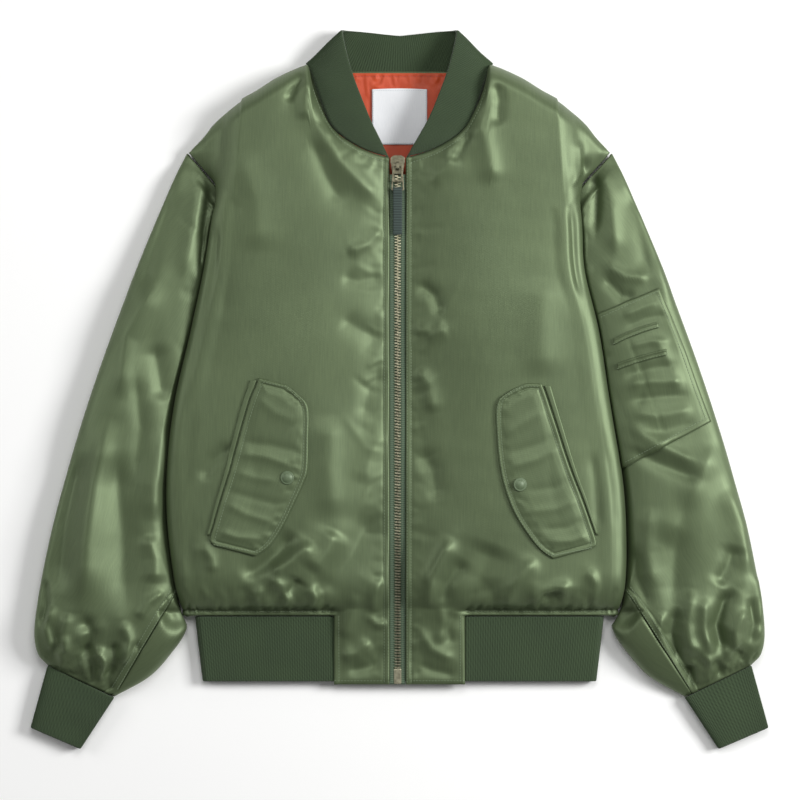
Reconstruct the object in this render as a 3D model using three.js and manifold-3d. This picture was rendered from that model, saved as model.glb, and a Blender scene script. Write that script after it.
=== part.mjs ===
// A padded bomber jacket, zipped up and laid flat on its back with the sleeves down.
// Millimetres. +X is the wearer's left, +Y points to the collar, +Z points up from the surface.
import * as THREE from 'three';
import Module from 'manifold-3d';
import { mergeVertices } from 'three/addons/utils/BufferGeometryUtils.js';

// Thickness of the cloth, and the spaces between pieces
const SHELL = 3;
const RIB = 2.4;
const LINING = 1;
const SEAM = 0.3;
const CLEAR = 0.8;

// Main sizes of the laid-out jacket
const ZIP_X = -2;
const ZIP_EDGE = 8.4;
const NECK_Y = 242;
const BACK_NECK_Y = 334;
const HEM_Y = -237;
const BAND_BOTTOM_Y = -306;
const TAB_X = 69;
const TAB_BOTTOM_Y = -309;
const UNDERARM_Y = -11;
const ROLL = 16;
const SHOULDER_Z = 10;
const HEM_Z = 15;
const FRONT_Z = 30;

// Colours of the cloth, knit and metal
const OLIVE = 0x5f7250;
const DARK_RIB = 0x3e4e33;
const ORANGE = 0xc8503a;
const WHITE = 0xdde0e4;
const TAPE = 0x4c5a48;
const RIBBON = 0x2e3b38;
const BRASS = 0xb9a77c;

// Each row of a table becomes an object with the named columns.
function table(names, rows) {
  const keys = names.split(' ');
  return rows.map((row) => Object.fromEntries(keys.map((key, i) => [key, row[i]])));
}

// The outer fold of the body, measured from the middle, on the wearer's right and left.
const FOLD = table('y right left', [
  [-252, 219, 217],
  [-235, 226, 228],
  [-204, 235, 236],
  [-140, 243, 237],
  [-90, 244, 233],
  [-11, 235, 220],
  [60, 219, 209],
  [125, 205, 194],
  [176, 197, 191],
  [210, 189, 187],
  [257, 184, 184],
  [294, 181, 181],
]);

// The top edge of a front: the neckline, then the shoulder line out to the shoulder point.
const TOP = table('x y edge_z run', [
  [8, 242, 29, 20],
  [28, 248, 30, 24],
  [47, 257, 31, 26],
  [69, 274, 31, 28],
  [84, 301, 29, 30],
  [91, 322, 22, 30],
  [94, 338, 14, 26],
  [98, 340, 10, 22],
  [128, 327, 10, 20],
  [149, 314, 10, 20],
  [170, 302, 10, 20],
  [186, 289, 10, 18],
  [198, 277, 10, 16],
  [207, 264, 11.5, 14],
  [218, 251, 12.5, 12],
  [220, 248, 12.5, 12],
]);

// The height of a front across its width, from the zip (0) to where it rolls over the side (1).
const CROWN = table('across z', [
  [0, 30],
  [0.06, 33],
  [0.2, 39],
  [0.45, 44],
  [0.75, 43],
  [1, 39],
]);

// The rolled side beyond the crown: beside the fold, at the shoulder, and at the hem.
const SIDE = table('side_x side_z shoulder_x shoulder_z hem_z', [
  [-10, 37.5, -10, 36, 14.5],
  [-4, 34, -3, 31, 13.5],
  [-0.5, 28, 3, 25.5, 11],
  [-0.5, 20, 10, 22, 8],
  [-4.5, 14.5, 18, 19.5, 6],
  [-12, 11, 27, 17, 5],
  [-20, 9.5, 36, 14, 4.5],
]);

// The sleeve from the armhole to the cuff: its outer edge, its inner edge and its height.
const SLEEVE = table('along outer_x outer_y inner_x inner_y z', [
  [0, 223, 247.5, 219, -11, 16],
  [1, 236, 221, 219, -30, 25],
  [2, 255, 177, 219, -52, 30],
  [3, 275, 128, 219, -78, 33],
  [4, 294.5, 76, 219, -105, 35],
  [5, 313, 25, 219, -132, 36],
  [6, 330, -26, 219, -158, 37],
  [7, 346, -79, 219, -183, 38],
  [8, 361, -134, 220, -207, 39],
  [9, 372, -183, 221, -230, 39],
  [10, 380, -228, 224, -253, 37],
  [11, 382.5, -257, 238, -275, 33],
  [12, 379, -277, 262, -301, 25],
  [13, 370, -288, 299, -322, 15],
]);

// The collar from the zip round to the middle of the back: its seam edge and its top edge.
const COLLAR = table('along seam_x seam_y seam_z top_x top_y top_z', [
  [0, 15, 244.5, 32, 9, 243, 31],
  [1, 32, 250.5, 33, 15, 254, 34],
  [2, 47, 258, 34, 21, 265, 36],
  [3, 60, 267, 34, 28, 278, 37],
  [4, 70, 277, 34, 34, 291, 38],
  [5, 77, 292, 34, 40, 306, 38],
  [6, 82, 306, 32, 45.5, 320, 37],
  [7, 87, 321, 29, 51, 336, 35],
  [8, 92, 335.5, 22, 56.5, 356, 30],
  [9, 96, 343, 14, 60.5, 374, 22],
  [10, 93, 343.5, 7, 60, 377, 13],
  [11, 84, 341, 3, 54, 376.5, 7],
  [12, 56, 336, 1, 37, 375, 3],
  [13, 28, 335, 0.5, 19, 373, 2.2],
  [14, 0, 334.5, 0.4, 0, 371, 2],
]);

// A smooth curve through one column of a table, read at a value of its first column.
function read(rows, column, value) {
  const key = Object.keys(rows[0])[0];
  const last = rows.length - 1;
  let i = 0;
  while (i < last - 1 && value > rows[i + 1][key]) i += 1;
  const slope = (k) => {
    const before = rows[Math.max(0, k - 1)];
    const after = rows[Math.min(last, k + 1)];
    return (after[column] - before[column]) / (after[key] - before[key]);
  };
  const width = rows[i + 1][key] - rows[i][key];
  const t = THREE.MathUtils.clamp((value - rows[i][key]) / width, 0, 1);
  const rise = rows[i + 1][column] - rows[i][column];
  const start = slope(i) * width;
  const end = slope(i + 1) * width;
  return rows[i][column] + start * t
    + (3 * rise - 2 * start - end) * t * t
    + (start + end - 2 * rise) * t * t * t;
}

const lerp = THREE.MathUtils.lerp;
const clamp = THREE.MathUtils.clamp;

// A quarter-round rise from 0 to 1, as cloth turns up from an edge.
function round(t) {
  const left = 1 - clamp(t, 0, 1);
  return Math.sqrt(1 - left * left);
}

// Evenly spaced values from a start to an end, both included.
function steps(start, end, count) {
  return Array.from({ length: count + 1 }, (_, i) => lerp(start, end, i / count));
}

// The outward direction of a grid at each point, from its neighbours.
function normals(grid, closed) {
  const rows = grid.length;
  const columns = grid[0].length;
  const at = (r, c) => {
    const column = closed ? (c + columns) % columns : clamp(c, 0, columns - 1);
    return grid[clamp(r, 0, rows - 1)][column];
  };
  return grid.map((row, r) => row.map((_, c) => {
    const across = at(r, c + 1).clone().sub(at(r, c - 1));
    const along = at(r + 1, c).clone().sub(at(r - 1, c));
    return across.cross(along).normalize();
  }));
}

// A closed wall behind a grid of outer points: rows of columns, whose outward side is across x along.
function wallGeometry(outer, thickness, closed = false) {
  const out = normals(outer, closed);
  const inner = outer.map((row, r) => row.map((p, c) => p.clone().addScaledVector(out[r][c], -thickness)));
  return skinGeometry(outer, inner, closed);
}

// The closed skin over two grids that face each other.
function skinGeometry(outer, inner, closed = false) {
  const rows = outer.length;
  const columns = outer[0].length;
  const positions = [outer, inner].flatMap((grid) => grid.flatMap((row) => row.flatMap((p) => p.toArray())));
  const index = [];
  const id = (layer, r, c) => (layer * rows + r) * columns + (c % columns);
  const quad = (a, b, c, d) => index.push(a, b, c, a, c, d);
  const spans = closed ? columns : columns - 1;
  for (let r = 0; r < rows - 1; r += 1) {
    for (let c = 0; c < spans; c += 1) {
      quad(id(0, r, c), id(0, r, c + 1), id(0, r + 1, c + 1), id(0, r + 1, c));
      quad(id(1, r, c), id(1, r + 1, c), id(1, r + 1, c + 1), id(1, r, c + 1));
    }
  }
  for (let c = 0; c < spans; c += 1) {
    quad(id(1, 0, c), id(1, 0, c + 1), id(0, 0, c + 1), id(0, 0, c));
    quad(id(0, rows - 1, c), id(0, rows - 1, c + 1), id(1, rows - 1, c + 1), id(1, rows - 1, c));
  }
  if (!closed) {
    for (let r = 0; r < rows - 1; r += 1) {
      quad(id(0, r, 0), id(0, r + 1, 0), id(1, r + 1, 0), id(1, r, 0));
      quad(id(1, r, columns - 1), id(1, r + 1, columns - 1), id(0, r + 1, columns - 1), id(0, r, columns - 1));
    }
  }
  const geometry = new THREE.BufferGeometry();
  geometry.setAttribute('position', new THREE.Float32BufferAttribute(positions, 3));
  geometry.setIndex(index);
  geometry.computeVertexNormals();
  return geometry;
}

const jacket = new THREE.Group();
const CLOTH = { roughness: 0.45, metalness: 0 };
const KNIT = { roughness: 0.9, metalness: 0 };
const METAL = { roughness: 0.35, metalness: 0.9 };

function add(name, geometry, color, finish) {
  const mesh = new THREE.Mesh(geometry, new THREE.MeshStandardMaterial({ color, ...finish }));
  mesh.name = name;
  jacket.add(mesh);
  return mesh;
}

// The two sides of the jacket: +1 is the wearer's left.
const SIDES = [
  { name: 'right', sign: -1 },
  { name: 'left', sign: 1 },
];

const foldX = (side, y) => read(FOLD, side.name, clamp(y, FOLD[0].y, FOLD.at(-1).y));

// How far a row lies in the shoulder (1), where the side steps out to the armhole, or below it (0).
const SHOULDER_FROM = 190;
const SHOULDER_TO = 248;
const shoulder = (y) => clamp((y - SHOULDER_FROM) / (SHOULDER_TO - SHOULDER_FROM), 0, 1);

// The side roll's place across, measured from the fold, and its height, at one column of the SIDE table.
function sideOffset(row, y) {
  return lerp(row.side_x, row.shoulder_x, shoulder(y));
}

function sideHeight(row, y) {
  return lerp(row.side_z, row.shoulder_z, shoulder(y));
}

// The cloth sinks to the hem seam over this length above it.
const HEM_RUN = 46;
const hemRise = (y) => round((y - HEM_Y) / HEM_RUN);

// The edge that a front and the back share: the armhole, then the side seam.
const edgeX = (side, y) => foldX(side, y) + sideOffset(SIDE.at(-1), y);

// The largest folds, as lines on the cloth seen from above: ridges above 0 and troughs below it.
const FOLDS = {
  right: table('from_x from_y to_x to_y width height', [
    [-108, -148, -166, -200, 10, -3.4],
    [-90, -158, -137, -194, 9, 3.6],
    [-137, -194, -124, -231, 7, 2.4],
    [-22, -122, -84, -228, 16, -3.6],
    [-66, -146, -94, -190, 12, 3.2],
    [-73, -24, -70, -137, 15, 1.8],
    [-86, 282, -17, 194, 12, 2.4],
    [-60, 114, -19, 118, 8, -2.2],
    [-56, 70, -19, 50, 9, -2.6],
    [-196, 176, -192, 70, 10, -1.8],
    [-250, 114, -290, 0, 12, 2.4],
    [-300, -28, -330, -228, 14, 4],
    [-335, -60, -360, -216, 16, -3.4],
    [-297, -60, -286, -240, 17, -3.6],
  ]),
  left: table('from_x from_y to_x to_y width height', [
    [135, -222, 182, -204, 8, 3],
    [109, -231, 143, -174, 9, 2.8],
    [30, -231, 57, -152, 9, 3.2],
    [90, -226, 98, -160, 18, -3.2],
    [72, 271, 54, 236, 8, -2.2],
    [84, 284, 98, 214, 10, 2.2],
    [176, 196, 188, 92, 11, -1.8],
    [18, 112, 44, 76, 8, -2],
    [18, 24, 36, -26, 9, 2],
    [206, -60, 214, -150, 9, -1.8],
    [329, -54, 276, -164, 17, 3.2],
    [352, -162, 332, -206, 11, -2.8],
    [339, -275, 333, -240, 10, -4],
    [300, -100, 286, -236, 14, -2.6],
  ]),
};

function foldHeight(side, x, y) {
  return FOLDS[side.name].reduce((sum, fold) => {
    const run = new THREE.Vector2(fold.to_x - fold.from_x, fold.to_y - fold.from_y);
    const place = new THREE.Vector2(side.sign * x - fold.from_x, y - fold.from_y);
    const along = clamp(place.dot(run) / run.lengthSq(), 0, 1);
    const away = place.distanceTo(run.multiplyScalar(along));
    return sum + fold.height * Math.exp(-((away / fold.width) ** 2));
  }, 0);
}

// Gathers above the hem seam: every second column of a front stands up and the next sinks.
const HEM_GATHER = 1.3;
const HEM_GATHER_FROM = 8;
const HEM_GATHER_TO = 42;
const FOLD_MARGIN = 14;

// One column of a front: where it starts at the top edge, and its place and height at each y.
function frontColumns(side) {
  const crown = [0, 0.03, 0.06, ...steps(0.1, 0.94, 15), 1];
  const first = ZIP_EDGE;
  const topRoll = foldX(side, FOLD.at(-1).y) - ROLL;
  const flat = crown.map((across) => ({
    top: lerp(first, topRoll, across),
    x: (y) => lerp(first + side.sign * ZIP_X, foldX(side, y) - ROLL, across),
    z: () => read(CROWN, 'z', across),
    hem: HEM_Z,
    folded: true,
  }));
  const roll = SIDE.map((row) => ({
    top: Math.min(foldX(side, SHOULDER_TO) + row.shoulder_x, TOP.at(-1).x),
    x: (y) => foldX(side, y) + sideOffset(row, y),
    z: (y) => sideHeight(row, y),
    hem: row.hem_z,
  }));
  return [...flat, ...roll];
}

// A front panel's outer points, from the top edge down to the hem seam.
function frontGrid(side) {
  const downs = [0, 0.012, 0.035, 0.07, ...steps(0.12, 0.64, 9), ...steps(0.68, 0.94, 10), 0.965, 0.985, 1];
  const columns = frontColumns(side);
  return downs.map((down) => columns.map((column, c) => {
    const topY = read(TOP, 'y', column.top);
    const y = lerp(topY, HEM_Y + SEAM, down);
    const x = column.x(y);
    const edge = read(TOP, 'edge_z', column.top);
    const rise = round((topY - y) / read(TOP, 'run', column.top));
    const high = lerp(edge, column.z(y), rise);
    const margin = Math.min(topY - y, y - HEM_Y, x - ZIP_EDGE, foldX(side, y) - ROLL - x);
    const calm = column.folded ? clamp(margin / FOLD_MARGIN, 0, 1) : 0;
    const fromHem = y - HEM_Y;
    const near = clamp(fromHem / HEM_GATHER_FROM, 0, 1) * clamp(1 - fromHem / HEM_GATHER_TO, 0, 1);
    const gather = HEM_GATHER * near * (c % 2 ? 1 : -1);
    const z = lerp(column.hem, high, hemRise(y)) + calm * (foldHeight(side, x, y) + gather);
    return new THREE.Vector3(side.sign * x, y, z);
  }));
}

// Rows of columns seen from above run the other way round on the two sides, so one side is turned.
function facing(grid, side) {
  return side.sign > 0 ? grid.map((row) => [...row].reverse()) : grid;
}

const fronts = {};
for (const side of SIDES) {
  fronts[side.name] = facing(frontGrid(side), side);
  add(`front_${side.name}`, wallGeometry(fronts[side.name], SHELL), OLIVE, CLOTH);
}

// The back lies on the surface. Its edges turn up to the fronts at the shoulders and side seams,
// and stay flat along the armholes, where the under sleeves go on from it.
const BACK_TURN = 16;
const COLLAR_X = 96;
const sideSeam = (y) => clamp((10 - y) / 35, 0, 1);

function backGrid() {
  const acrosses = [0, 0.3, 0.5, 0.68, 0.8, 0.88, 0.94, 0.975, 1];
  const downs = [0, 0.008, 0.02, 0.035, 0.06, 0.12, 0.2, 0.3, 0.4, 0.5, 0.6, 0.7, 0.85, 1];
  const half = (side) => acrosses.map((across) => downs.map((down) => {
    const topX = across * TOP.at(-1).x;
    const atNeck = topX < COLLAR_X;
    const topY = atNeck ? BACK_NECK_Y : read(TOP, 'y', topX) - SEAM;
    const y = lerp(topY, HEM_Y + SEAM, down);
    const x = across * (edgeX(side, y) - 5 * SEAM);
    const fromSide = (edgeX(side, y) - x) / BACK_TURN;
    const fromTop = atNeck ? 1 : (topY - y) / BACK_TURN;
    const seamZ = lerp(SIDE.at(-1).hem_z, SIDE.at(-1).side_z, hemRise(y)) * sideSeam(y);
    const lift = Math.max((1 - round(fromSide)) * seamZ, (1 - round(fromTop)) * (SHOULDER_Z - SHELL));
    return new THREE.Vector3(side.sign * x, y, lift);
  }));
  const columns = [...half(SIDES[0]).slice(1).reverse(), ...half(SIDES[1])];
  return downs.map((_, r) => columns.map((column) => column[r]));
}

add('back', wallGeometry(backGrid(), SHELL), OLIVE, CLOTH);

// How high a sleeve may stand beside the body: under its rolled side, and at the shoulder.
const BESIDE_BODY = table('out under shoulder', [
  [0, 9.2, 13.6],
  [10, 9.2, 17.4],
  [17, 11, 20],
  [22.5, 16, 23],
  [27, 25, 26],
  [34, 33, 31],
  [48, 60, 60],
]);
const ARMHOLE_LENGTH = 3;
const TUCK = 8;
const ARMHOLE_GAP = 0.8;

// One row of the SLEEVE table, smoothed, at a place between its rows.
function sleeveRow(side, along) {
  const value = (column) => read(SLEEVE, column, along);
  const innerY = value('inner_y');
  const attached = 1 - clamp(along, 0, 1);
  const nearHem = 1 - clamp((innerY - HEM_Y - 12) / 40, 0, 1);
  const underBody = foldX(side, innerY) - lerp(lerp(TUCK, -2, nearHem), 19, attached);
  return {
    outer: new THREE.Vector2(value('outer_x'), value('outer_y')),
    inner: new THREE.Vector2(Math.max(along > 8.5 ? value('inner_x') : 0, underBody), innerY),
    z: value('z'),
  };
}

// The place on the armhole that a sleeve's first ring follows.
function armholePoint(side, across) {
  const y = lerp(SHOULDER_TO, UNDERARM_Y, across);
  return new THREE.Vector2(edgeX(side, y) + ARMHOLE_GAP, y);
}

// A sleeve point: along the arm, and round it in degrees from the outer edge over the top.
function sleevePoint(side, along, degrees) {
  const angle = THREE.MathUtils.degToRad(degrees);
  const across = (1 - Math.cos(angle)) / 2;
  const row = sleeveRow(side, along);
  const place = row.outer.clone().lerp(row.inner, across);
  const hold = clamp(1 - along / ARMHOLE_LENGTH, 0, 1) ** 2;
  const straight = armholePoint(side, 0).lerp(armholePoint(side, 1), across);
  place.addScaledVector(armholePoint(side, across).sub(straight), hold);
  const middle = lerp(0.36 * row.z, Math.min(4.6, 0.36 * row.z), across);
  const rise = Math.sin(angle);
  if (rise < 0) {
    const z = middle * (1 - round(-2.2 * rise));
    return new THREE.Vector3(side.sign * place.x, place.y, z);
  }
  const gather = clamp((along - 10) / 2.5, 0, 1) * clamp((13 - along) / 0.6, 0, 1);
  const wave = 1.6 * gather * Math.cos(degrees * GATHER_TURNS * Math.PI / 180);
  const fold = foldHeight(side, place.x, place.y);
  const full = lerp(middle, row.z + wave + fold, rise ** 0.55);
  const out = place.x - edgeX(side, place.y);
  const limit = place.y < HEM_Y - 12 || out > 47
    ? full
    : lerp(0.5, 1, hemRise(place.y))
      * lerp(read(BESIDE_BODY, 'under', out), read(BESIDE_BODY, 'shoulder', out), shoulder(place.y));
  return new THREE.Vector3(side.sign * place.x, place.y, Math.min(full, limit));
}

const GATHER_TURNS = 14;
const SLEEVE_ROWS = [0, 0.25, 0.6, 1, 1.5, 2.1, 3, 4, 5, 6.2, 7.5, 8.6, 9.6, 10.5, 11.2, 11.8, 12.4, 12.8, 13];
const OUTER_SEAM = -42;
const FELLED_SEAM = 140;

// Grids that run from the sleeve's outer edge inwards face up on the wearer's left.
const turned = (grid, side) => facing(grid, { sign: -side.sign });

function sleeveGrid(side, from, to, count) {
  return turned(SLEEVE_ROWS.map((along) => steps(from, to, count)
    .map((degrees) => sleevePoint(side, along, degrees))), side);
}

const sleeves = {};
const SEAM_DEGREES = 1.5;
for (const side of SIDES) {
  sleeves[side.name] = sleeveGrid(side, OUTER_SEAM + SEAM_DEGREES, FELLED_SEAM - SEAM_DEGREES, 16);
  add(`sleeve_top_${side.name}`, wallGeometry(sleeves[side.name], SHELL), OLIVE, CLOTH);
  const under = sleeveGrid(side, FELLED_SEAM + SEAM_DEGREES, 360 + OUTER_SEAM - SEAM_DEGREES, 9);
  add(`sleeve_under_${side.name}`, wallGeometry(under, SHELL), OLIVE, CLOTH);
}

// The rib cuffs: flattened tubes, open at both ends.
const CUFF = {
  seamOuter: new THREE.Vector2(369, -289),
  seamInner: new THREE.Vector2(299, -323),
  endOuter: new THREE.Vector2(387, -354.5),
  endInner: new THREE.Vector2(334.5, -377),
  seamZ: 15,
  endZ: 13,
};

function cuffGrid(side) {
  return turned([0, 0.08, 0.5, 0.92, 1].map((down) => {
    const outer = CUFF.seamOuter.clone().lerp(CUFF.endOuter, down);
    const inner = CUFF.seamInner.clone().lerp(CUFF.endInner, down);
    const high = lerp(CUFF.seamZ, CUFF.endZ, down);
    return steps(0, 360, 24).slice(0, -1).map((degrees) => {
      const angle = THREE.MathUtils.degToRad(degrees);
      const place = outer.clone().lerp(inner, (1 - Math.cos(angle)) / 2);
      const z = (high / 2) * (1 + Math.sign(Math.sin(angle)) * round(1.6 * Math.abs(Math.sin(angle))));
      return new THREE.Vector3(side.sign * place.x, place.y, z);
    });
  }), side);
}

for (const side of SIDES) add(`cuff_${side.name}`, wallGeometry(cuffGrid(side), RIB, true), DARK_RIB, KNIT);

// The collar: one rib band from the zip, over the fold at each shoulder and round the back of the neck.
function collarGrid() {
  const half = (side) => steps(0, COLLAR.at(-1).along, 24).map((along) => [0, 0.15, 0.85, 1].map((up) => {
    const value = (name) => lerp(read(COLLAR, `seam_${name}`, along), read(COLLAR, `top_${name}`, along), up);
    const shift = ZIP_X * clamp(1 - along / 4, 0, 1);
    const puff = along < 9 ? 1.2 * Math.sin(Math.PI * up) : 0;
    return new THREE.Vector3(side.sign * value('x') + shift, value('y'), value('z') + puff);
  }));
  const columns = [...half(SIDES[0]), ...half(SIDES[1]).slice(0, -1).reverse()];
  return columns[0].map((_, r) => columns.map((column) => column[r]).reverse());
}

add('collar', wallGeometry(collarGrid(), RIB), DARK_RIB, KNIT);

// The rib waistband: its front layers, the folds at the sides, and its back layer on the surface.
const BAND_FOLD = { seam: 214.5, bottom: 206.5 };
const BAND_Z = { seam: HEM_Z - 0.5, bottom: 12.5 };

function bandGrid() {
  const half = (side, down) => {
    const high = lerp(BAND_Z.seam, BAND_Z.bottom, down);
    const radius = high / 2;
    const fold = lerp(BAND_FOLD.seam, BAND_FOLD.bottom, down) - radius;
    const y = lerp(HEM_Y - CLEAR, BAND_BOTTOM_Y, down);
    const front = [TAB_X, 105, 145, 180].map((x) => [x, high]);
    const turn = steps(0, Math.PI, 8).map((a) => [fold + radius * Math.sin(a), radius + radius * Math.cos(a)]);
    const back = [175, 120, 60, 0].map((x) => [x, 0]);
    return [...front, ...turn, ...back].map(([x, z]) => new THREE.Vector3(side.sign * x, y, z));
  };
  return [0, 0.12, 0.88, 1].map((down) => [
    ...half(SIDES[0], down),
    ...half(SIDES[1], down).slice(0, -1).reverse(),
  ]);
}

add('hem_rib', wallGeometry(bandGrid(), RIB), DARK_RIB, KNIT);

// Where the zip lies: on the fronts, then on the tabs.
function zipZ(y) {
  if (y < HEM_Y) return lerp(BAND_Z.seam, BAND_Z.bottom, (HEM_Y - y) / (HEM_Y - TAB_BOTTOM_Y));
  return lerp(HEM_Z, lerp(TOP[0].edge_z, FRONT_Z, round((NECK_Y - y) / TOP[0].run)), hemRise(y));
}

// The shell-cloth tabs that end the waistband beside the zip.
for (const side of SIDES) {
  const grid = [0, 0.08, 0.3, 0.55, 0.8, 1].map((down) => [0, 0.1, 0.35, 0.65, 0.9, 1].map((across) => {
    const y = lerp(HEM_Y - SEAM, TAB_BOTTOM_Y, down);
    const x = lerp(ZIP_EDGE + side.sign * ZIP_X, TAB_X - SEAM, across);
    const puff = 1.5 * Math.sin(Math.PI * across) * Math.sin(Math.PI * down);
    return new THREE.Vector3(side.sign * x, y, zipZ(y) + 0.3 + puff);
  }));
  add(`tab_${side.name}`, wallGeometry(facing(grid, side), SHELL), OLIVE, CLOTH);
}

// The zip: two tapes, the closed teeth between them, and the box at the foot.
const TEETH_HALF = 3.8;
const SLIDER_FOOT_Y = 225;
const BOX_TOP_Y = -292;
const zipRows = (from, to) => steps(from, to, 14).concat(steps(HEM_Y + HEM_RUN, HEM_Y - 1, 8), TAB_BOTTOM_Y)
  .filter((y) => y <= from && y >= to)
  .sort((a, b) => b - a)
  .filter((y, i, all) => i === 0 || all[i - 1] - y > 0.5);

for (const side of SIDES) {
  const grid = zipRows(SLIDER_FOOT_Y - SEAM, TAB_BOTTOM_Y).map((y) => [TEETH_HALF + SEAM, ZIP_EDGE - SEAM]
    .map((x) => new THREE.Vector3(ZIP_X + side.sign * x, y, zipZ(y) - 1)));
  add(`zip_tape_${side.name}`, wallGeometry(facing(grid, side), 1.1), TAPE, CLOTH);
}

const chain = zipRows(SLIDER_FOOT_Y - SEAM, BOX_TOP_Y + SEAM).map((y) => [-1, -0.35, 0.35, 1]
  .map((across) => new THREE.Vector3(ZIP_X + across * TEETH_HALF, y, zipZ(y) + (Math.abs(across) < 1 ? 0.7 : 0)))
  .reverse());
add('zip_teeth', wallGeometry(chain, 2.4), BRASS, METAL);

const box = new THREE.BoxGeometry(2 * TEETH_HALF, BOX_TOP_Y - TAB_BOTTOM_Y - 1, 4.5);
add('zip_box', box, BRASS, METAL).position.set(ZIP_X, (BOX_TOP_Y + TAB_BOTTOM_Y) / 2, BAND_Z.bottom - 1);

// The top of a panel at a place seen from above: its point and its outward direction.
function surfaceAt(grid, x, y) {
  const ray = new THREE.Ray(new THREE.Vector3(x, y, 200), new THREE.Vector3(0, 0, -1));
  let best = null;
  const tryTriangle = (a, b, c) => {
    const hit = ray.intersectTriangle(a, b, c, false, new THREE.Vector3());
    if (!hit || (best && hit.z <= best.point.z)) return;
    const out = b.clone().sub(a).cross(c.clone().sub(a)).normalize();
    best = { point: hit, out: out.z < 0 ? out.negate() : out };
  };
  for (let r = 0; r < grid.length - 1; r += 1) {
    for (let c = 0; c < grid[0].length - 1; c += 1) {
      tryTriangle(grid[r][c], grid[r][c + 1], grid[r + 1][c + 1]);
      tryTriangle(grid[r][c], grid[r + 1][c + 1], grid[r + 1][c]);
    }
  }
  return best;
}

// A piece that lies on a panel: its plan points lifted from the panel's own surface.
function layOn(panel, plan, thickness, clear = CLEAR) {
  return plan.map((row) => row.map(([x, y]) => {
    const { point, out } = surfaceAt(panel, x, y);
    return point.addScaledVector(out, clear + thickness);
  }));
}

// The slanted pocket flaps: their back edge and their front edge, from the top down.
const FLAPS = {
  right: table('down back_x back_y front_x front_y', [
    [0, -146.5, 12, -119, 5],
    [1, -149.5, 3, -106, -5],
    [2, -155, -10, -95.5, -19],
    [3, -163.5, -38, -95, -55],
    [4, -171, -66, -96, -84],
    [5, -178, -91, -100.5, -98],
    [6, -186.5, -118, -111, -121],
    [7, -193, -141, -122, -143],
    [8, -197.5, -157, -135, -162],
    [9, -193, -163, -150.5, -173.5],
  ]),
  left: table('down back_x back_y front_x front_y', [
    [0, 148, 6, 133, 6.5],
    [1, 151, -2, 113, -3],
    [2, 154.5, -12, 101, -16],
    [3, 163, -38, 101.5, -53],
    [4, 172, -66, 105, -84],
    [5, 180, -89, 111, -108],
    [6, 189.5, -113, 120, -130],
    [7, 197.5, -136, 134, -152],
    [8, 205, -160, 146.5, -167],
    [9, 199, -166, 160, -176.5],
  ]),
};
const FLAP = 2.2;
const WELT = 1.6;

const flaps = {};
for (const side of SIDES) {
  const rows = FLAPS[side.name];
  const downs = [0, 0.6, 1.3, 2, 3, 4, 5, 6, 7, 8, 8.6, 9];
  const plan = downs.map((down) => [0, 0.12, 0.37, 0.63, 0.88, 1].map((across) => [
    lerp(read(rows, 'back_x', down), read(rows, 'front_x', down), across),
    lerp(read(rows, 'back_y', down), read(rows, 'front_y', down), across),
  ]));
  const grid = layOn(fronts[side.name], plan, FLAP);
  flaps[side.name] = turned(grid, side);
  add(`flap_${side.name}`, wallGeometry(flaps[side.name], FLAP), OLIVE, CLOTH);
  const welt = [0.3, 1.5, 3, 4.5, 6, 7.6].map((down) => [1.5, lerp(9, 4, down / 8)].map((out) => [
    read(rows, 'back_x', down) + side.sign * out,
    read(rows, 'back_y', down),
  ]));
  const strip = layOn(fronts[side.name], welt, WELT);
  add(`welt_${side.name}`, wallGeometry(facing(strip, side), WELT), OLIVE, CLOTH);
}

// The snap on each flap: a low dome with a rim.
const SNAP_RADIUS = 7;
const SNAP_AT = { right: [-117, -92], left: [125.5, -99] };
for (const side of SIDES) {
  const profile = [[0, 0], [SNAP_RADIUS, 0], [SNAP_RADIUS, 1], [5.6, 1.6], [4.6, 2.4], [2.4, 2.9], [0, 3]]
    .map(([x, y]) => new THREE.Vector2(x, y));
  const dome = add(`snap_${side.name}`, new THREE.LatheGeometry(profile, 16), OLIVE, METAL);
  const { point, out } = surfaceAt(flaps[side.name], ...SNAP_AT[side.name]);
  dome.quaternion.setFromUnitVectors(new THREE.Vector3(0, 1, 0), out);
  dome.position.copy(point.addScaledVector(out, CLEAR));
}

// The utility pocket on the wearer's left sleeve, with two openings for pens.
const POCKET = 2;
const POCKET_FROM_FOLD = 8;
const LEFT = SIDES[1];
const pocketRows = table('outer_y outer_x inner_y', [
  [-34, 325, -82],
  [5, 310.5, -20],
  [40, 298, 20],
  [73, 285, 52],
  [106, 271, 79],
]);
const pocketPlan = steps(106, -34, 12).map((outerY) => {
  const outerX = read(pocketRows, 'outer_x', outerY);
  const innerY = read(pocketRows, 'inner_y', outerY);
  return steps(0, 1, 10).map((across) => [
    lerp(outerX, foldX(LEFT, innerY) + POCKET_FROM_FOLD, across),
    lerp(outerY, innerY, across),
  ]);
});
const pocket = layOn(sleeves.left, pocketPlan, POCKET, 2.2);
add('sleeve_pocket', wallGeometry(turned(pocket, LEFT), POCKET), OLIVE, CLOTH);

const PEN_SLOT = 6.5;
const PEN_SLOTS = {
  upper: [[224, 53], [230, 56], [236, 59], [245, 62.5], [254, 66], [262, 68.5], [270, 70.5]],
  lower: [[228, 27], [234, 29.5], [240, 31.5], [247, 34], [256, 36.5], [267, 39.5], [278, 42]],
};
for (const [name, line] of Object.entries(PEN_SLOTS)) {
  const plan = [PEN_SLOT, 0].map((up) => line.map(([x, y]) => [x, y + up - PEN_SLOT]));
  const strip = layOn(pocket, plan, 1.2);
  add(`pen_slot_${name}`, wallGeometry(strip.map((row) => [...row].reverse()), 1.2), OLIVE, CLOTH);
}

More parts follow.
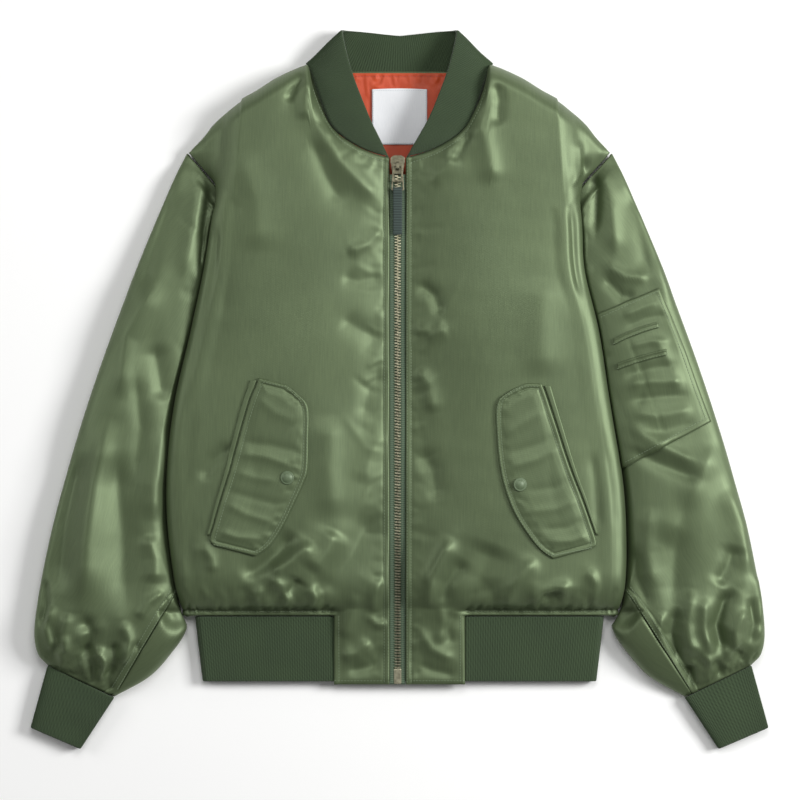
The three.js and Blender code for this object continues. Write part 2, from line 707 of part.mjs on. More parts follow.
// The lining, only where the neck opening shows it, and the bare label on it.
const LINING_Z = SHELL + LINING + 0.6;
const lining = [332, 300, 262, 218].map((y) => [64, 20, -20, -64].map((x) => new THREE.Vector3(x, y, LINING_Z)));
add('lining_back', wallGeometry(lining, LINING), ORANGE, CLOTH);
const LABEL = { half: 28.9, top: 315, foot: 257, thick: 0.8 };
const label = new THREE.BoxGeometry(2 * LABEL.half, LABEL.top - LABEL.foot, LABEL.thick);
add('label', label, WHITE, CLOTH)
  .position.set(0, (LABEL.top + LABEL.foot) / 2, LINING_Z + SEAM + LABEL.thick / 2);

// A three.js shape that is cut or joined, and the geometry that it gives back.
const wasm = await Module();
wasm.setup();

function toSolid(geometry) {
  const bare = geometry.clone();
  bare.deleteAttribute('normal');
  bare.deleteAttribute('uv');
  const merged = mergeVertices(bare, 1e-4);
  const vertProperties = merged.attributes.position.array;
  return new wasm.Manifold(new wasm.Mesh({ numProp: 3, vertProperties, triVerts: merged.index.array }));
}

function toGeometry(solid) {
  const mesh = solid.getMesh();
  const geometry = new THREE.BufferGeometry();
  geometry.setAttribute('position', new THREE.BufferAttribute(mesh.vertProperties, 3));
  geometry.setIndex(new THREE.BufferAttribute(mesh.triVerts, 1));
  geometry.computeVertexNormals();
  return geometry;
}

const shapeOf = (points) => new THREE.Shape(points.map(([x, y]) => new THREE.Vector2(x, y)));

function plate(shape, depth) {
  return new THREE.ExtrudeGeometry(shape, { depth, bevelEnabled: false });
}

// The slider at the top of the zip, with the bridge that carries the pull.
const SLIDER_Z = 26;
const SLIDER_TOP_Z = 33;
const PULL_Y = 233.6;
const BRIDGE = { half: 1.6, long: 8.6, high: 5.6, holeLong: 5.2, holeHigh: 4 };
const PULL_Z = SLIDER_TOP_Z + BRIDGE.holeHigh / 2;
const sliderPlate = plate(shapeOf([
  [-5.5, SLIDER_FOOT_Y], [5.5, SLIDER_FOOT_Y], [6.5, 233], [7.6, 238], [7.2, 242.5], [4, 244.5],
  [-4, 244.5], [-7.2, 242.5], [-7.6, 238], [-6.5, 233],
]), SLIDER_TOP_Z - SLIDER_Z).translate(0, 0, SLIDER_Z);
const arch = shapeOf([
  [-BRIDGE.long / 2, -1], [BRIDGE.long / 2, -1], [BRIDGE.long / 2, BRIDGE.high - 1.5],
  [BRIDGE.long / 2 - 1.5, BRIDGE.high], [1.5 - BRIDGE.long / 2, BRIDGE.high], [-BRIDGE.long / 2, BRIDGE.high - 1.5],
]);
arch.holes.push(shapeOf([
  [-BRIDGE.holeLong / 2, 0], [-BRIDGE.holeLong / 2, BRIDGE.holeHigh],
  [BRIDGE.holeLong / 2, BRIDGE.holeHigh], [BRIDGE.holeLong / 2, 0],
]));

// A profile drawn in (y, z) and given its width across the zip.
function acrossZip(shape, half) {
  return plate(shape, 2 * half)
    .applyMatrix4(new THREE.Matrix4().makeBasis(
      new THREE.Vector3(0, 1, 0),
      new THREE.Vector3(0, 0, 1),
      new THREE.Vector3(1, 0, 0),
    ))
    .translate(-half, 0, 0);
}

const bridge = acrossZip(arch, BRIDGE.half).translate(0, PULL_Y, SLIDER_TOP_Z);
const slider = toSolid(sliderPlate).add(toSolid(bridge));
add('slider', toGeometry(slider), BRASS, METAL).position.x = ZIP_X;

// The pull: a frame whose top bar turns in the bridge, with a window for the ribbon at its foot.
const PULL = { top: 5, foot: 6.8, long: 26, thick: 2, bar: 0.9, foot_bar: 2 };
const frame = shapeOf([
  [-PULL.top, PULL.bar], [-PULL.foot, 1 - PULL.long], [1 - PULL.foot, -PULL.long],
  [PULL.foot - 1, -PULL.long], [PULL.foot, 1 - PULL.long], [PULL.top, PULL.bar],
]);
frame.holes.push(shapeOf([[-3.2, -PULL.bar], [3.2, -PULL.bar], [3.6, -14.5], [-3.6, -14.5]]));
frame.holes.push(shapeOf([[-4.9, -17], [4.9, -17], [5.1, PULL.foot_bar - PULL.long], [-5.1, PULL.foot_bar - PULL.long]]));
add('pull', plate(frame, PULL.thick), BRASS, METAL).position.set(ZIP_X, PULL_Y, PULL_Z - PULL.thick / 2);

// The ribbon: folded round the pull's foot bar, with its two layers sewn together below it.
const RIBBON_HALF = 4.7;
const RIBBON_END = 47;
const ribbon = shapeOf([
  [1.4, -2.6], [2.6, -1.4], [2.6, 1.4], [1.4, 2.6], [-1.6, 2.6], [-8, 0.4], [-RIBBON_END, -1.6],
  [-RIBBON_END, -3.8], [-8, -2.2], [-2, -2.6],
]);
ribbon.holes.push(shapeOf([[-1.4, -1.4], [1.4, -1.4], [1.4, 1.4], [-1.4, 1.4]]));
add('pull_ribbon', acrossZip(ribbon, RIBBON_HALF), RIBBON, CLOTH)
  .position.set(ZIP_X, PULL_Y - PULL.long + PULL.foot_bar / 2, PULL_Z);

export default jacket;
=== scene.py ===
# %% [markdown]
# # A nylon bomber jacket, laid flat
# The jacket lies on its back with its front to the camera: +X is the wearer's left, +Y runs to the collar
# and +Z to the camera. The solid jacket is loaded first. Each of its cut pieces is then made again as
# thin, creased cloth in the same place, so that the two always agree.

# %% Load the solid jacket
import math

import bpy
import numpy as np
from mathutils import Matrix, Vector
from mathutils.bvhtree import BVHTree


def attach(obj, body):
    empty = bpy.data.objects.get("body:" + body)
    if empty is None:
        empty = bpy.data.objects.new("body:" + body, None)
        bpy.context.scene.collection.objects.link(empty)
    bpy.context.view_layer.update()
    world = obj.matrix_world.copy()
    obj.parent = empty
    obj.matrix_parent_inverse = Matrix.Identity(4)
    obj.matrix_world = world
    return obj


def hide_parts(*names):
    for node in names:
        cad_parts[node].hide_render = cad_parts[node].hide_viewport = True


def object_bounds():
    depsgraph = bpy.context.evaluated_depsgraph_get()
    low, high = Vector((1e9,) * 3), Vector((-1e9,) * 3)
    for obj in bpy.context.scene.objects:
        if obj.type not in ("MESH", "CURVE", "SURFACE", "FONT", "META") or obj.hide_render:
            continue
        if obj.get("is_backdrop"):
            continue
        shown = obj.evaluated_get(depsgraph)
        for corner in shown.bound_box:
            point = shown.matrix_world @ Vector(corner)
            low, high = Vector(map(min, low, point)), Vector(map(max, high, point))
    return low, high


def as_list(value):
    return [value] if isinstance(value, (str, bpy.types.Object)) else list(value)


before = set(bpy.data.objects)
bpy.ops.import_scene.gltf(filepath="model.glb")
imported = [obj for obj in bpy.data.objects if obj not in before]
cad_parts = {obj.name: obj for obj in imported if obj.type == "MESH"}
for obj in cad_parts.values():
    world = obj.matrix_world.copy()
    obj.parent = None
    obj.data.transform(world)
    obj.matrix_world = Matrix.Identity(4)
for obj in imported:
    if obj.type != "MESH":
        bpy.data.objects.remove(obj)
cad_box = [list(corner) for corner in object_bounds()]
MM = 0.001
print("solid jacket:", len(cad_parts), "pieces,", cad_box)

# %% [markdown]
# The jacket's shape is told by a few short tables, in millimetres: the line of each side, the shoulder
# and neck line, how the padded cloth crowns and rolls, the arm and the collar. A table could be joined by
# straight lines, but cloth has none, so every column is read as a smooth curve.

# %% Tables of the jacket's shape
RIGHT, LEFT = -1, 1
SIDE_NAMES = {RIGHT: "right", LEFT: "left"}
SHELL, RIB, LINING = 3.0, 2.4, 1.0
SEAM, CLEAR = 0.3, 0.8
ZIP_X, ZIP_EDGE = -2.0, 8.4
NECK_Y, BACK_NECK_Y, HEM_Y = 242.0, 334.0, -237.0
BAND_BOTTOM_Y, TAB_BOTTOM_Y, TAB_X = -306.0, -309.0, 69.0
SHOULDER_FROM, SHOULDER_TO, UNDERARM_Y = 190.0, 248.0, -11.0
ROLL, SHOULDER_Z, HEM_Z, FRONT_Z, HEM_RUN, HEM_BAND = 16.0, 10.0, 15.0, 30.0, 46.0, 6.0


def table(names, *rows):
    """Columns by name. The first column is the one that the others are read by."""
    return dict(zip(names.split(), np.array(rows, float).T))


def read(rows, column, at):
    """A smooth curve through one column, read at any values of the first column."""
    keys, values = next(iter(rows.values())), rows[column]
    last = len(keys) - 1
    before, after = np.maximum(np.arange(last + 1) - 1, 0), np.minimum(np.arange(last + 1) + 1, last)
    slopes = (values[after] - values[before]) / (keys[after] - keys[before])
    i = np.clip(np.searchsorted(keys, at) - 1, 0, last - 1)
    width = keys[i + 1] - keys[i]
    t = np.clip((at - keys[i]) / width, 0, 1)
    rise, start, end = values[i + 1] - values[i], slopes[i] * width, slopes[i + 1] * width
    return values[i] + start * t + (3 * rise - 2 * start - end) * t**2 + (start + end - 2 * rise) * t**3


FOLD = table(
    "y right left",
    (-252, 219, 217), (-235, 226, 228), (-204, 235, 236), (-140, 243, 237), (-90, 244, 233), (-11, 235, 220),
    (60, 219, 209), (125, 205, 194), (176, 197, 191), (210, 189, 187), (257, 184, 184), (294, 181, 181),
)
TOP = table(
    "x y edge_z run",
    (8, 242, 29, 20), (28, 248, 30, 24), (47, 257, 31, 26), (69, 274, 31, 28), (84, 301, 29, 30),
    (91, 322, 22, 30), (94, 338, 14, 26), (98, 340, 10, 22), (128, 327, 10, 20), (149, 314, 10, 20),
    (170, 302, 10, 20), (186, 289, 10, 18), (198, 277, 10, 16), (207, 264, 11.5, 14), (218, 251, 12.5, 12),
    (220, 248, 12.5, 12),
)
CROWN = table("across z", (0, 30), (0.06, 33), (0.2, 39), (0.45, 44), (0.75, 43), (1, 39))
SIDE = table(
    "step side_x side_z shoulder_x shoulder_z hem_z",
    (-1, -16, 39, -16, 39, 15), (0, -10, 37.5, -10, 36, 14.5), (1, -4, 34, -3, 31, 13.5),
    (2, -0.5, 28, 3, 25.5, 11), (3, -0.5, 20, 10, 22, 8), (4, -4.5, 14.5, 18, 19.5, 6),
    (5, -12, 11, 27, 17, 5), (6, -20, 9.5, 36, 14, 4.5),
)
SLEEVE = table(
    "along outer_x outer_y inner_x inner_y z",
    (0, 223, 247.5, 219, -11, 16), (1, 236, 221, 219, -30, 25), (2, 255, 177, 219, -52, 30),
    (3, 275, 128, 219, -78, 33), (4, 294.5, 76, 219, -105, 35), (5, 313, 25, 219, -132, 36),
    (6, 330, -26, 219, -158, 37), (7, 346, -79, 219, -183, 38), (8, 361, -134, 220, -207, 39),
    (9, 372, -183, 221, -230, 39), (10, 380, -228, 224, -253, 37), (11, 382.5, -257, 238, -275, 33),
    (12, 379, -277, 262, -301, 25), (13, 370, -288, 299, -322, 15),
)
COLLAR = table(
    "along seam_x seam_y seam_z top_x top_y top_z",
    (0, 15, 244.5, 32, 9, 243, 31), (1, 32, 250.5, 33, 15, 254, 34), (2, 47, 258, 34, 21, 265, 36),
    (3, 60, 267, 34, 28, 278, 37), (4, 70, 277, 34, 34, 291, 38), (5, 77, 292, 34, 40, 306, 38),
    (6, 82, 306, 32, 45.5, 320, 37), (7, 87, 321, 29, 51, 336, 35), (8, 92, 335.5, 22, 56.5, 356, 30),
    (9, 96, 343, 14, 60.5, 374, 22), (10, 93, 343.5, 7, 60, 377, 13), (11, 84, 341, 3, 54, 376.5, 7),
    (12, 56, 336, 1, 37, 375, 3), (13, 28, 335, 0.5, 19, 373, 2.2), (14, 0, 334.5, 0.4, 0, 371, 2),
)
print("tables:", len(FOLD["y"]), "points down each side,", len(SLEEVE["along"]), "rings along each sleeve")

# %% [markdown]
# Cloth that turns up from a seam does so in a quarter round, and a fold fades out softly at its ends. Two
# small curves say both.

# %% Soft curves
def round_up(t):
    """A quarter-round rise from 0 to 1, as cloth turns up from an edge."""
    return np.sqrt(1 - (1 - np.clip(t, 0, 1)) ** 2)


def ease(t):
    """A rise from 0 to 1 that starts and ends level."""
    t = np.clip(t, 0, 1)
    return t * t * (3 - 2 * t)


def blend(a, b, t):
    return a + (b - a) * t


def fold_x(side, y):
    return read(FOLD, SIDE_NAMES[side], np.clip(y, FOLD["y"][0], FOLD["y"][-1]))


def shoulder(y):
    return np.clip((y - SHOULDER_FROM) / (SHOULDER_TO - SHOULDER_FROM), 0, 1)


def hem_rise(y):
    """The rise above the hem seam. The lowest few millimetres are stitched flat, as a band."""
    return round_up((y - HEM_Y - HEM_BAND) / (HEM_RUN - HEM_BAND))


def edge_x(side, y):
    """The edge that a front and the back share: the armhole, then the side seam."""
    return fold_x(side, y) + blend(SIDE["side_x"][-1], SIDE["shoulder_x"][-1], shoulder(y))


def spaced(start, end, gap):
    """Evenly spaced values from start to end, about a gap apart."""
    return np.linspace(start, end, max(2, round(abs(end - start) / gap) + 1))


print("side folds at the underarm:", [round(float(fold_x(s, UNDERARM_Y)), 1) for s in (RIGHT, LEFT)], "mm")

# %% [markdown]
# A piece of cloth is a grid of points, row by row. The wall behind it is a second grid, moved inwards by
# the cloth's thickness, and a rim joins the two, so that every piece is closed as real padded cloth is.
# Solidify could do this, but it would push the inner face through itself in tight creases.

# %% Make a closed wall of cloth from a grid
def directions(grid, closed=False):
    """The outward direction at each point: across the columns x down the rows."""
    if closed:
        across = np.roll(grid, -1, axis=1) - np.roll(grid, 1, axis=1)
    else:
        across = np.gradient(grid, axis=1)
    out = np.cross(across, np.gradient(grid, axis=0))
    return out / np.maximum(np.linalg.norm(out, axis=2, keepdims=True), 1e-9)


def cloth(name, grid, thickness, out=None, keep=None, closed=False, in_plan=False):
    """A closed mesh with a UV map in metres, along the cloth or in plan. keep says which squares stay."""
    rows, columns = grid.shape[:2]
    out = directions(grid, closed) if out is None else out
    points = np.concatenate([grid.reshape(-1, 3), (grid - out * thickness).reshape(-1, 3)]) * MM
    spans = columns if closed else columns - 1
    r, c = np.meshgrid(np.arange(rows - 1), np.arange(spans), indexing="ij")
    if keep is not None:
        r, c = r[keep[: rows - 1, :spans]], c[keep[: rows - 1, :spans]]
    at = lambda i, j: (i * columns + j % columns).ravel()
    outer = np.stack([at(r, c), at(r, c + 1), at(r + 1, c + 1), at(r + 1, c)], axis=1)
    ends = np.stack([outer, np.roll(outer, -1, axis=1)], axis=2).reshape(-1, 2)
    known = {(a, b) for a, b in ends.tolist()}
    rim = np.array([edge for edge in ends.tolist() if (edge[1], edge[0]) not in known])
    layer = rows * columns
    rims = np.stack([rim[:, 1], rim[:, 0], rim[:, 0] + layer, rim[:, 1] + layer], axis=1)
    faces = np.concatenate([outer, outer[:, ::-1] + layer, rims])
    used, faces = np.unique(faces, return_inverse=True)
    faces = faces.reshape(-1, 4)
    mesh = bpy.data.meshes.new(name)
    mesh.from_pydata(points[used].tolist(), [], faces.tolist())
    step = lambda axis: np.linalg.norm(np.diff(grid, axis=axis), axis=2)
    u = np.pad(np.cumsum(step(1), axis=1), ((0, 0), (1, 0)))
    v = np.pad(np.cumsum(step(0), axis=0), ((1, 0), (0, 0)))
    along_cloth = grid[:, :, :2] if in_plan else np.stack([u - u[:, -1:] / 2, v], axis=2)
    place = np.tile(along_cloth.reshape(-1, 2), (2, 1))[used] * MM
    uv = mesh.uv_layers.new(name="cloth")
    uv.data.foreach_set("uv", place[faces.ravel()].astype(np.float32).ravel())
    mesh.polygons.foreach_set("use_smooth", np.ones(len(faces), bool))
    piece = in_scene(name, mesh)
    piece["grid_area"] = sum(polygon.area for polygon in mesh.polygons) / 2
    return piece


def in_scene(name, data):
    """A new object that shows its data in the scene."""
    piece = bpy.data.objects.new(name, data)
    bpy.context.scene.collection.objects.link(piece)
    return piece


def tell(*pieces):
    """Print each piece's name, size in triangles and area of cloth."""
    for piece in pieces:
        print(piece.name, len(piece.data.polygons) * 2, "triangles,", round(piece["grid_area"], 4), "m2")


def facing_up(grid, side):
    """The wearer's left runs the other way round, so its rows are turned to keep their outside up."""
    return grid[:, ::-1] if side == LEFT else grid


print("cloth walls: shell", SHELL, "mm, rib", RIB, "mm")

# %% [markdown]
# Satin shows every crease, because a small tilt moves its highlight. Each crease here is a short line
# drawn on the cloth as seen from above, with a width and a height: a ridge if it is above zero, a trough
# if below. It is deepest in the middle and fades at its ends. A simulation would make creases of its own,
# but not these ones.

# %% Press creases into a grid
CREASE_REACH, CREASE_SHAPE, CREASE_FADE, CREASE_END = 2.5, 1.6, 4.5, 0.15
CROSSED_WAVES, WAVES_PEAK = 7, 2.6


def crease_height(x, y, creases):
    """The summed height of (points, width, height) creases at each place, in millimetres."""
    total = np.zeros(x.shape)
    for points, width, height in creases:
        line = np.array(points, float)
        low, high = line.min(axis=0) - CREASE_REACH * width, line.max(axis=0) + CREASE_REACH * width
        near = (x > low[0]) & (x < high[0]) & (y > low[1]) & (y < high[1])
        if not near.any():
            continue
        px, py = x[near], y[near]
        away, along, run = np.full(px.shape, np.inf), np.zeros(px.shape), 0.0
        for (ax, ay), (bx, by) in zip(line[:-1], line[1:]):
            length = math.hypot(bx - ax, by - ay)
            t = np.clip(((px - ax) * (bx - ax) + (py - ay) * (by - ay)) / length**2, 0, 1)
            gap = np.hypot(px - ax - t * (bx - ax), py - ay - t * (by - ay))
            closer = gap < away
            away, along = np.where(closer, gap, away), np.where(closer, run + t * length, along)
            run += length
        fade = ease(CREASE_FADE * along / run) * ease(CREASE_FADE * (1 - along / run))
        fade = fade * (1 - CREASE_END) + CREASE_END
        total[near] += height * fade * np.exp(-(away / width) ** CREASE_SHAPE)
    return total


def waves(x, y, size, height, seed):
    """A slow, uneven swell, as padding gives a panel: a few crossed waves with fixed random phases."""
    dice = np.random.default_rng(seed)
    total = np.zeros(np.shape(x))
    for _ in range(CROSSED_WAVES):
        turn, phase = dice.uniform(0, math.pi), dice.uniform(0, 2 * math.pi)
        length = size * dice.uniform(0.6, 1.6)
        total += np.sin((x * math.cos(turn) + y * math.sin(turn)) * 2 * math.pi / length + phase)
    return height * total / WAVES_PEAK


def deeper(creases, wider, higher):
    """The same creases, pressed in wider and higher, as thin cloth takes them more sharply."""
    return [(points, width * wider, height * higher) for points, width, height in creases]


def gathers(seed, count, place, reach, width, height, lean=0.25):
    """Short creases that run away from a seam. place(t) gives a point on the seam and the way off it."""
    dice = np.random.default_rng(seed)
    made = []
    for i in range(count):
        (x, y), (ax, ay) = place((i + dice.uniform(0.1, 0.9)) / count)
        long = dice.uniform(*reach) * dice.uniform(0.5, 1)
        bend = dice.normal(0, lean)
        mid = (x + (ax - ay * bend) * long * 0.5, y + (ay + ax * bend) * long * 0.5)
        end = (x + (ax - ay * bend * 2.2) * long, y + (ay + ax * bend * 2.2) * long)
        sign = 1 if i % 2 else -1
        made.append(([(x, y), mid, end], dice.uniform(*width), sign * dice.uniform(*height)))
    return made


one_crease = [([(0, 0), (0, 10)], 4, 3)]
print("a crease 3 mm high is", crease_height(np.array([0.0]), np.array([5.0]), one_crease), "at its middle")

# %% [markdown]
# The two fronts are padded nylon. Each is one cut piece that runs from the collar to the foot of the zip:
# beside the zip it goes on past the hem seam and makes the plain end of the waistband. The largest folds
# are the ones that show: soft S bends above the hem, troughs that pull from the zip, and dents beside the
# collar.

# %% Creases of the fronts
RIGHT_FRONT_FOLDS = [
    ([(-108, -148), (-128, -172), (-166, -200)], 9, -3.4),
    ([(-90, -158), (-112, -178), (-137, -194)], 8, 3.6),
    ([(-137, -194), (-120, -207), (-117, -218), (-124, -231)], 5, 2.8),
    ([(-104, -197), (-110, -207), (-119, -216)], 8, -3.4),
    ([(-140, -206), (-150, -214), (-147, -223), (-131, -222)], 4.5, 2.2),
    ([(-22, -122), (-48, -176), (-84, -228)], 16, -3.6), ([(-66, -146), (-78, -168), (-94, -190)], 12, 3.2),
    ([(-96, -206), (-88, -216), (-94, -232)], 5, 2.4), ([(-73, -24), (-75, -80), (-70, -137)], 15, 1.8),
    ([(-175, -57), (-194, -74), (-208, -96)], 6, -1.6),
    ([(-206, -160), (-196, -176), (-194, -192)], 5, 1.6),
    ([(-213, -158), (-220, -180), (-216, -204)], 6, 1.5),
    ([(-101, 331), (-110, 316), (-117, 298)], 5, -2.6), ([(-92, 326), (-98, 306), (-97, 280)], 7, 1.8),
    ([(-86, 282), (-64, 240), (-40, 214), (-17, 194)], 10, 2.4),
    ([(-92, 262), (-76, 222), (-58, 190)], 9, -1.8), ([(-62, 118), (-42, 113), (-16, 118)], 8, -1.1),
    ([(-62, 76), (-40, 62), (-16, 50)], 10, -1.4), ([(-18, 170), (-34, 152), (-56, 142)], 7, 1.8),
    ([(-16, 24), (-30, 2), (-38, -34)], 10, -1.0), ([(-16, -40), (-30, -66), (-40, -100)], 10, 1.1),
    ([(-170, 250), (-150, 200), (-146, 140)], 18, 1.6), ([(-196, 176), (-190, 130), (-192, 70)], 10, -1.8),
    ([(-20, -196), (-28, -214), (-27, -234)], 6, 2.0), ([(-44, -212), (-52, -240), (-60, -262)], 7, 1.8),
    ([(-30, -262), (-44, -276), (-62, -280)], 7, 2.0), ([(-16, -268), (-30, -290), (-56, -296)], 6, -1.6),
    ([(-34, -238), (-22, -246), (-12, -244)], 4, 1.6),
]
LEFT_FRONT_FOLDS = [
    ([(135, -222), (148, -211), (163, -207), (182, -204)], 6, 3.0),
    ([(150, -222), (158, -216), (170, -216)], 6, -3.0), ([(109, -231), (118, -206), (143, -174)], 8, 2.8),
    ([(30, -231), (35, -196), (57, -152)], 8, 3.4), ([(44, -230), (50, -204), (68, -176)], 8, -2.8),
    ([(90, -226), (84, -196), (98, -160)], 18, -3.2), ([(72, 271), (64, 252), (54, 236)], 7, -2.2),
    ([(84, 284), (92, 250), (98, 214)], 10, 2.2), ([(62, 262), (50, 232), (30, 214)], 8, 1.6),
    ([(176, 196), (182, 150), (188, 92)], 11, -1.8), ([(100, 322), (104, 302), (102, 272)], 6, -2.0),
    ([(190, 246), (196, 226), (192, 190)], 5, -2.4), ([(184, 262), (188, 236), (182, 206)], 4.5, 2.0),
    ([(18, 112), (36, 98), (44, 76)], 6, -2.0), ([(18, 66), (34, 58), (52, 64)], 7, 1.6),
    ([(18, 24), (30, 6), (36, -26)], 7, 2.0), ([(20, -60), (34, -84), (40, -118)], 8, -1.8),
    ([(150, 120), (146, 60), (150, 10)], 20, 1.6), ([(206, -60), (212, -100), (214, -150)], 9, -1.8),
    ([(196, -186), (206, -206), (204, -228)], 5, 1.8), ([(40, -214), (46, -244), (40, -268)], 6, 1.6),
    ([(20, -250), (34, -272), (58, -284)], 6, 1.8), ([(16, -286), (34, -294), (60, -300)], 5, -1.3),
    ([(60, -232), (50, -250), (56, -270)], 6, -1.6),
]


FRONT_FOLDS = {RIGHT: RIGHT_FRONT_FOLDS, LEFT: LEFT_FRONT_FOLDS}
FRONT_DEEPER, FRONT_SEED = (1.05, 2.2), 10
BESIDE_HEM, BESIDE_ZIP, BESIDE_NECK = 2.0, 4.5, 2.0


def hem_seam(side, start, end):
    return lambda t: ((side * blend(start, end, t), HEM_Y + BESIDE_HEM), (0, 1))


def zip_seam(side, start, end):
    x = side * (ZIP_EDGE + side * ZIP_X + BESIDE_ZIP)
    return lambda t: ((x, blend(start, end, t)), (side * 0.97, -0.25))


def neck_seam(side, start, end):
    def place(t):
        x = blend(start, end, t)
        y = read(TOP, "y", x)
        slope = read(TOP, "y", x + 1) - y
        size = math.hypot(slope, 1)
        at = (side * (x + BESIDE_NECK * slope / size), y - BESIDE_NECK / size)
        return at, (side * slope / size, -1 / size)
    return place


def front_creases(side):
    """The drawn folds, and the gathers that run from the hem, the zip, the tab's zip and the neck."""
    at_hem, at_zip = hem_seam(side, 72, 222), zip_seam(side, 232, -232)
    at_tab, at_neck = zip_seam(side, -236, -304), neck_seam(side, 14, 92)
    seed = FRONT_SEED + side
    return (deeper(FRONT_FOLDS[side], *FRONT_DEEPER)
            + gathers(seed, 40, at_hem, reach=(14, 48), width=(3, 6), height=(0.6, 1.5))
            + gathers(seed + 2, 64, at_zip, reach=(10, 40), width=(2.2, 4.8), height=(0.2, 0.65), lean=0.5)
            + gathers(seed + 4, 22, at_tab, reach=(8, 26), width=(2.0, 4.0), height=(0.2, 0.7), lean=0.4)
            + gathers(seed + 6, 26, at_neck, reach=(8, 30), width=(2.2, 4.5), height=(0.2, 0.7), lean=0.3))


print("creases on each front:", len(front_creases(RIGHT)), len(front_creases(LEFT)))

# %% [markdown]
# A front could be a flat plane pushed about by a sculpting brush. It is drawn here as rows that start at
# the shoulder and end at the hem, with columns from the zip to the side, where the cloth rolls under. Its
# edges beside the zip and the collar are turned in and sewn down, which leaves a low raised band.

# %% Make the fronts
BAND_WIDTH, BAND_RISE, BAND_GROOVE, GROOVE_WIDTH = 5.5, 0.9, 0.7, 1.3
SINK_FROM_Y, SINK_RUN, TAB_FOOT_Z, TAB_END_Z, TAB_TURN = -150.0, 152.0, 14.5, 12.8, 14.0
BRIDGE_PAST, BRIDGE_WIDE, BRIDGE_FROM_Y, BRIDGE_RUN = 6.0, 22.0, -140.0, 30.0
PANEL_WIDE, PANEL_LONG, TAB_LONG = 200.0, 520.0, 72.0
ACROSS_GAP, DOWN_GAP, ROLL_STEP, FAR = 2.4, 2.5, 0.2, 99.0
ZIP_COLUMNS = (0, 0.5, 1.2, 2.2, 3.4, 4.6, 5.8, 7.2, 9)
SEAM_ROWS = (0, 0.4, 1, 1.8, 2.8, 4, 5.4)
NECK_BAND_TO, NECK_BAND_FADE, HEM_PUCKERS = 92.0, 6.0, 12.0


def sewn_band(away):
    """A turned edge: raised from the edge to its stitch line, with a groove where the stitches hold it."""
    body = ease(away / 1.2) * (1 - ease((away - BAND_WIDTH + 1) / 1.6))
    return BAND_RISE * body - BAND_GROOVE * np.exp(-(((away - BAND_WIDTH) / GROOVE_WIDTH) ** 2))


def run_down(high, y):
    """Beside the zip a front doesn't turn in at the hem seam, but sinks slowly to the tab's foot."""
    return blend(high, TAB_FOOT_Z, ease((SINK_FROM_Y - y) / SINK_RUN) ** 0.8)


def front_columns(side):
    """Shares across a front from the zip to its roll, and the column at which the tab ends."""
    near_zip = ZIP_EDGE + side * ZIP_X
    tab_across = (TAB_X - SEAM - near_zip) / (fold_x(side, HEM_Y) - ROLL - near_zip)
    beside_zip, gap = np.array(ZIP_COLUMNS) / PANEL_WIDE, ACROSS_GAP / PANEL_WIDE
    flat = np.concatenate([beside_zip, spaced(beside_zip[-1], tab_across, gap), spaced(tab_across, 1, gap)])
    flat = np.unique(np.round(flat, 6))
    return flat, int(np.argmin(abs(flat - tab_across)))


def front_plane(side, flat):
    """A front's smooth points from top seam to hem seam, how far each is from the top, and its crown."""
    first, last = SIDE["step"][[0, -1]]
    steps = spaced(first, last, ROLL_STEP)[1:]
    across = np.concatenate([flat, np.ones(len(steps))])[None, :]
    step = np.concatenate([np.full(len(flat), first), steps])[None, :]
    rolled = step > first
    shoulder_x = np.minimum(fold_x(side, SHOULDER_TO) + read(SIDE, "shoulder_x", step), TOP["x"][-1])
    top_x = np.where(rolled, shoulder_x, blend(ZIP_EDGE, fold_x(side, FOLD["y"][-1]) - ROLL, across))
    top_y = read(TOP, "y", top_x)
    edge = np.array(SEAM_ROWS) / PANEL_LONG
    middle = spaced(edge[-1], 1 - edge[-1], DOWN_GAP / PANEL_LONG)[1:-1]
    down = np.concatenate([edge, middle, 1 - edge[::-1]])[:, None]
    y = blend(top_y, HEM_Y + SEAM, down)
    roll_x = fold_x(side, y) + blend(read(SIDE, "side_x", step), read(SIDE, "shoulder_x", step), shoulder(y))
    roll_z = blend(read(SIDE, "side_z", step), read(SIDE, "shoulder_z", step), shoulder(y))
    crown = read(CROWN, "z", across)
    x = np.where(rolled, roll_x, blend(ZIP_EDGE + side * ZIP_X, fold_x(side, y) - ROLL, across))
    high = np.where(rolled, roll_z, crown)
    rise = round_up((top_y - y) / read(TOP, "run", top_x))
    z = blend(read(SIDE, "hem_z", step), blend(read(TOP, "edge_z", top_x), high, rise), hem_rise(y))
    return x, y, z, top_y - y, crown


def with_tab(x, y, z, crown):
    """The same points with the tab's rows below them, sunk beside the zip so that both run on as one."""
    down = spaced(0, 1, ACROSS_GAP / TAB_LONG)[1:, None]
    tab_y = blend(HEM_Y + SEAM, TAB_BOTTOM_Y, down) + 0 * x[-1:]
    x = np.concatenate([x, x[-1:] + 0 * tab_y])
    y = np.concatenate([y, tab_y])
    z = np.concatenate([z, blend(HEM_Z, TAB_END_Z, down) + 0 * tab_y])
    bridge = ease((TAB_X + BRIDGE_PAST - x) / BRIDGE_WIDE) * ease((BRIDGE_FROM_Y - y) / BRIDGE_RUN)
    run_on = run_down(crown, y) * ease(0.55 + (y - TAB_BOTTOM_Y) / TAB_TURN)
    z = np.where(x < TAB_X + BRIDGE_PAST, np.maximum(z, blend(z, run_on, bridge)), z)
    return x, y, z


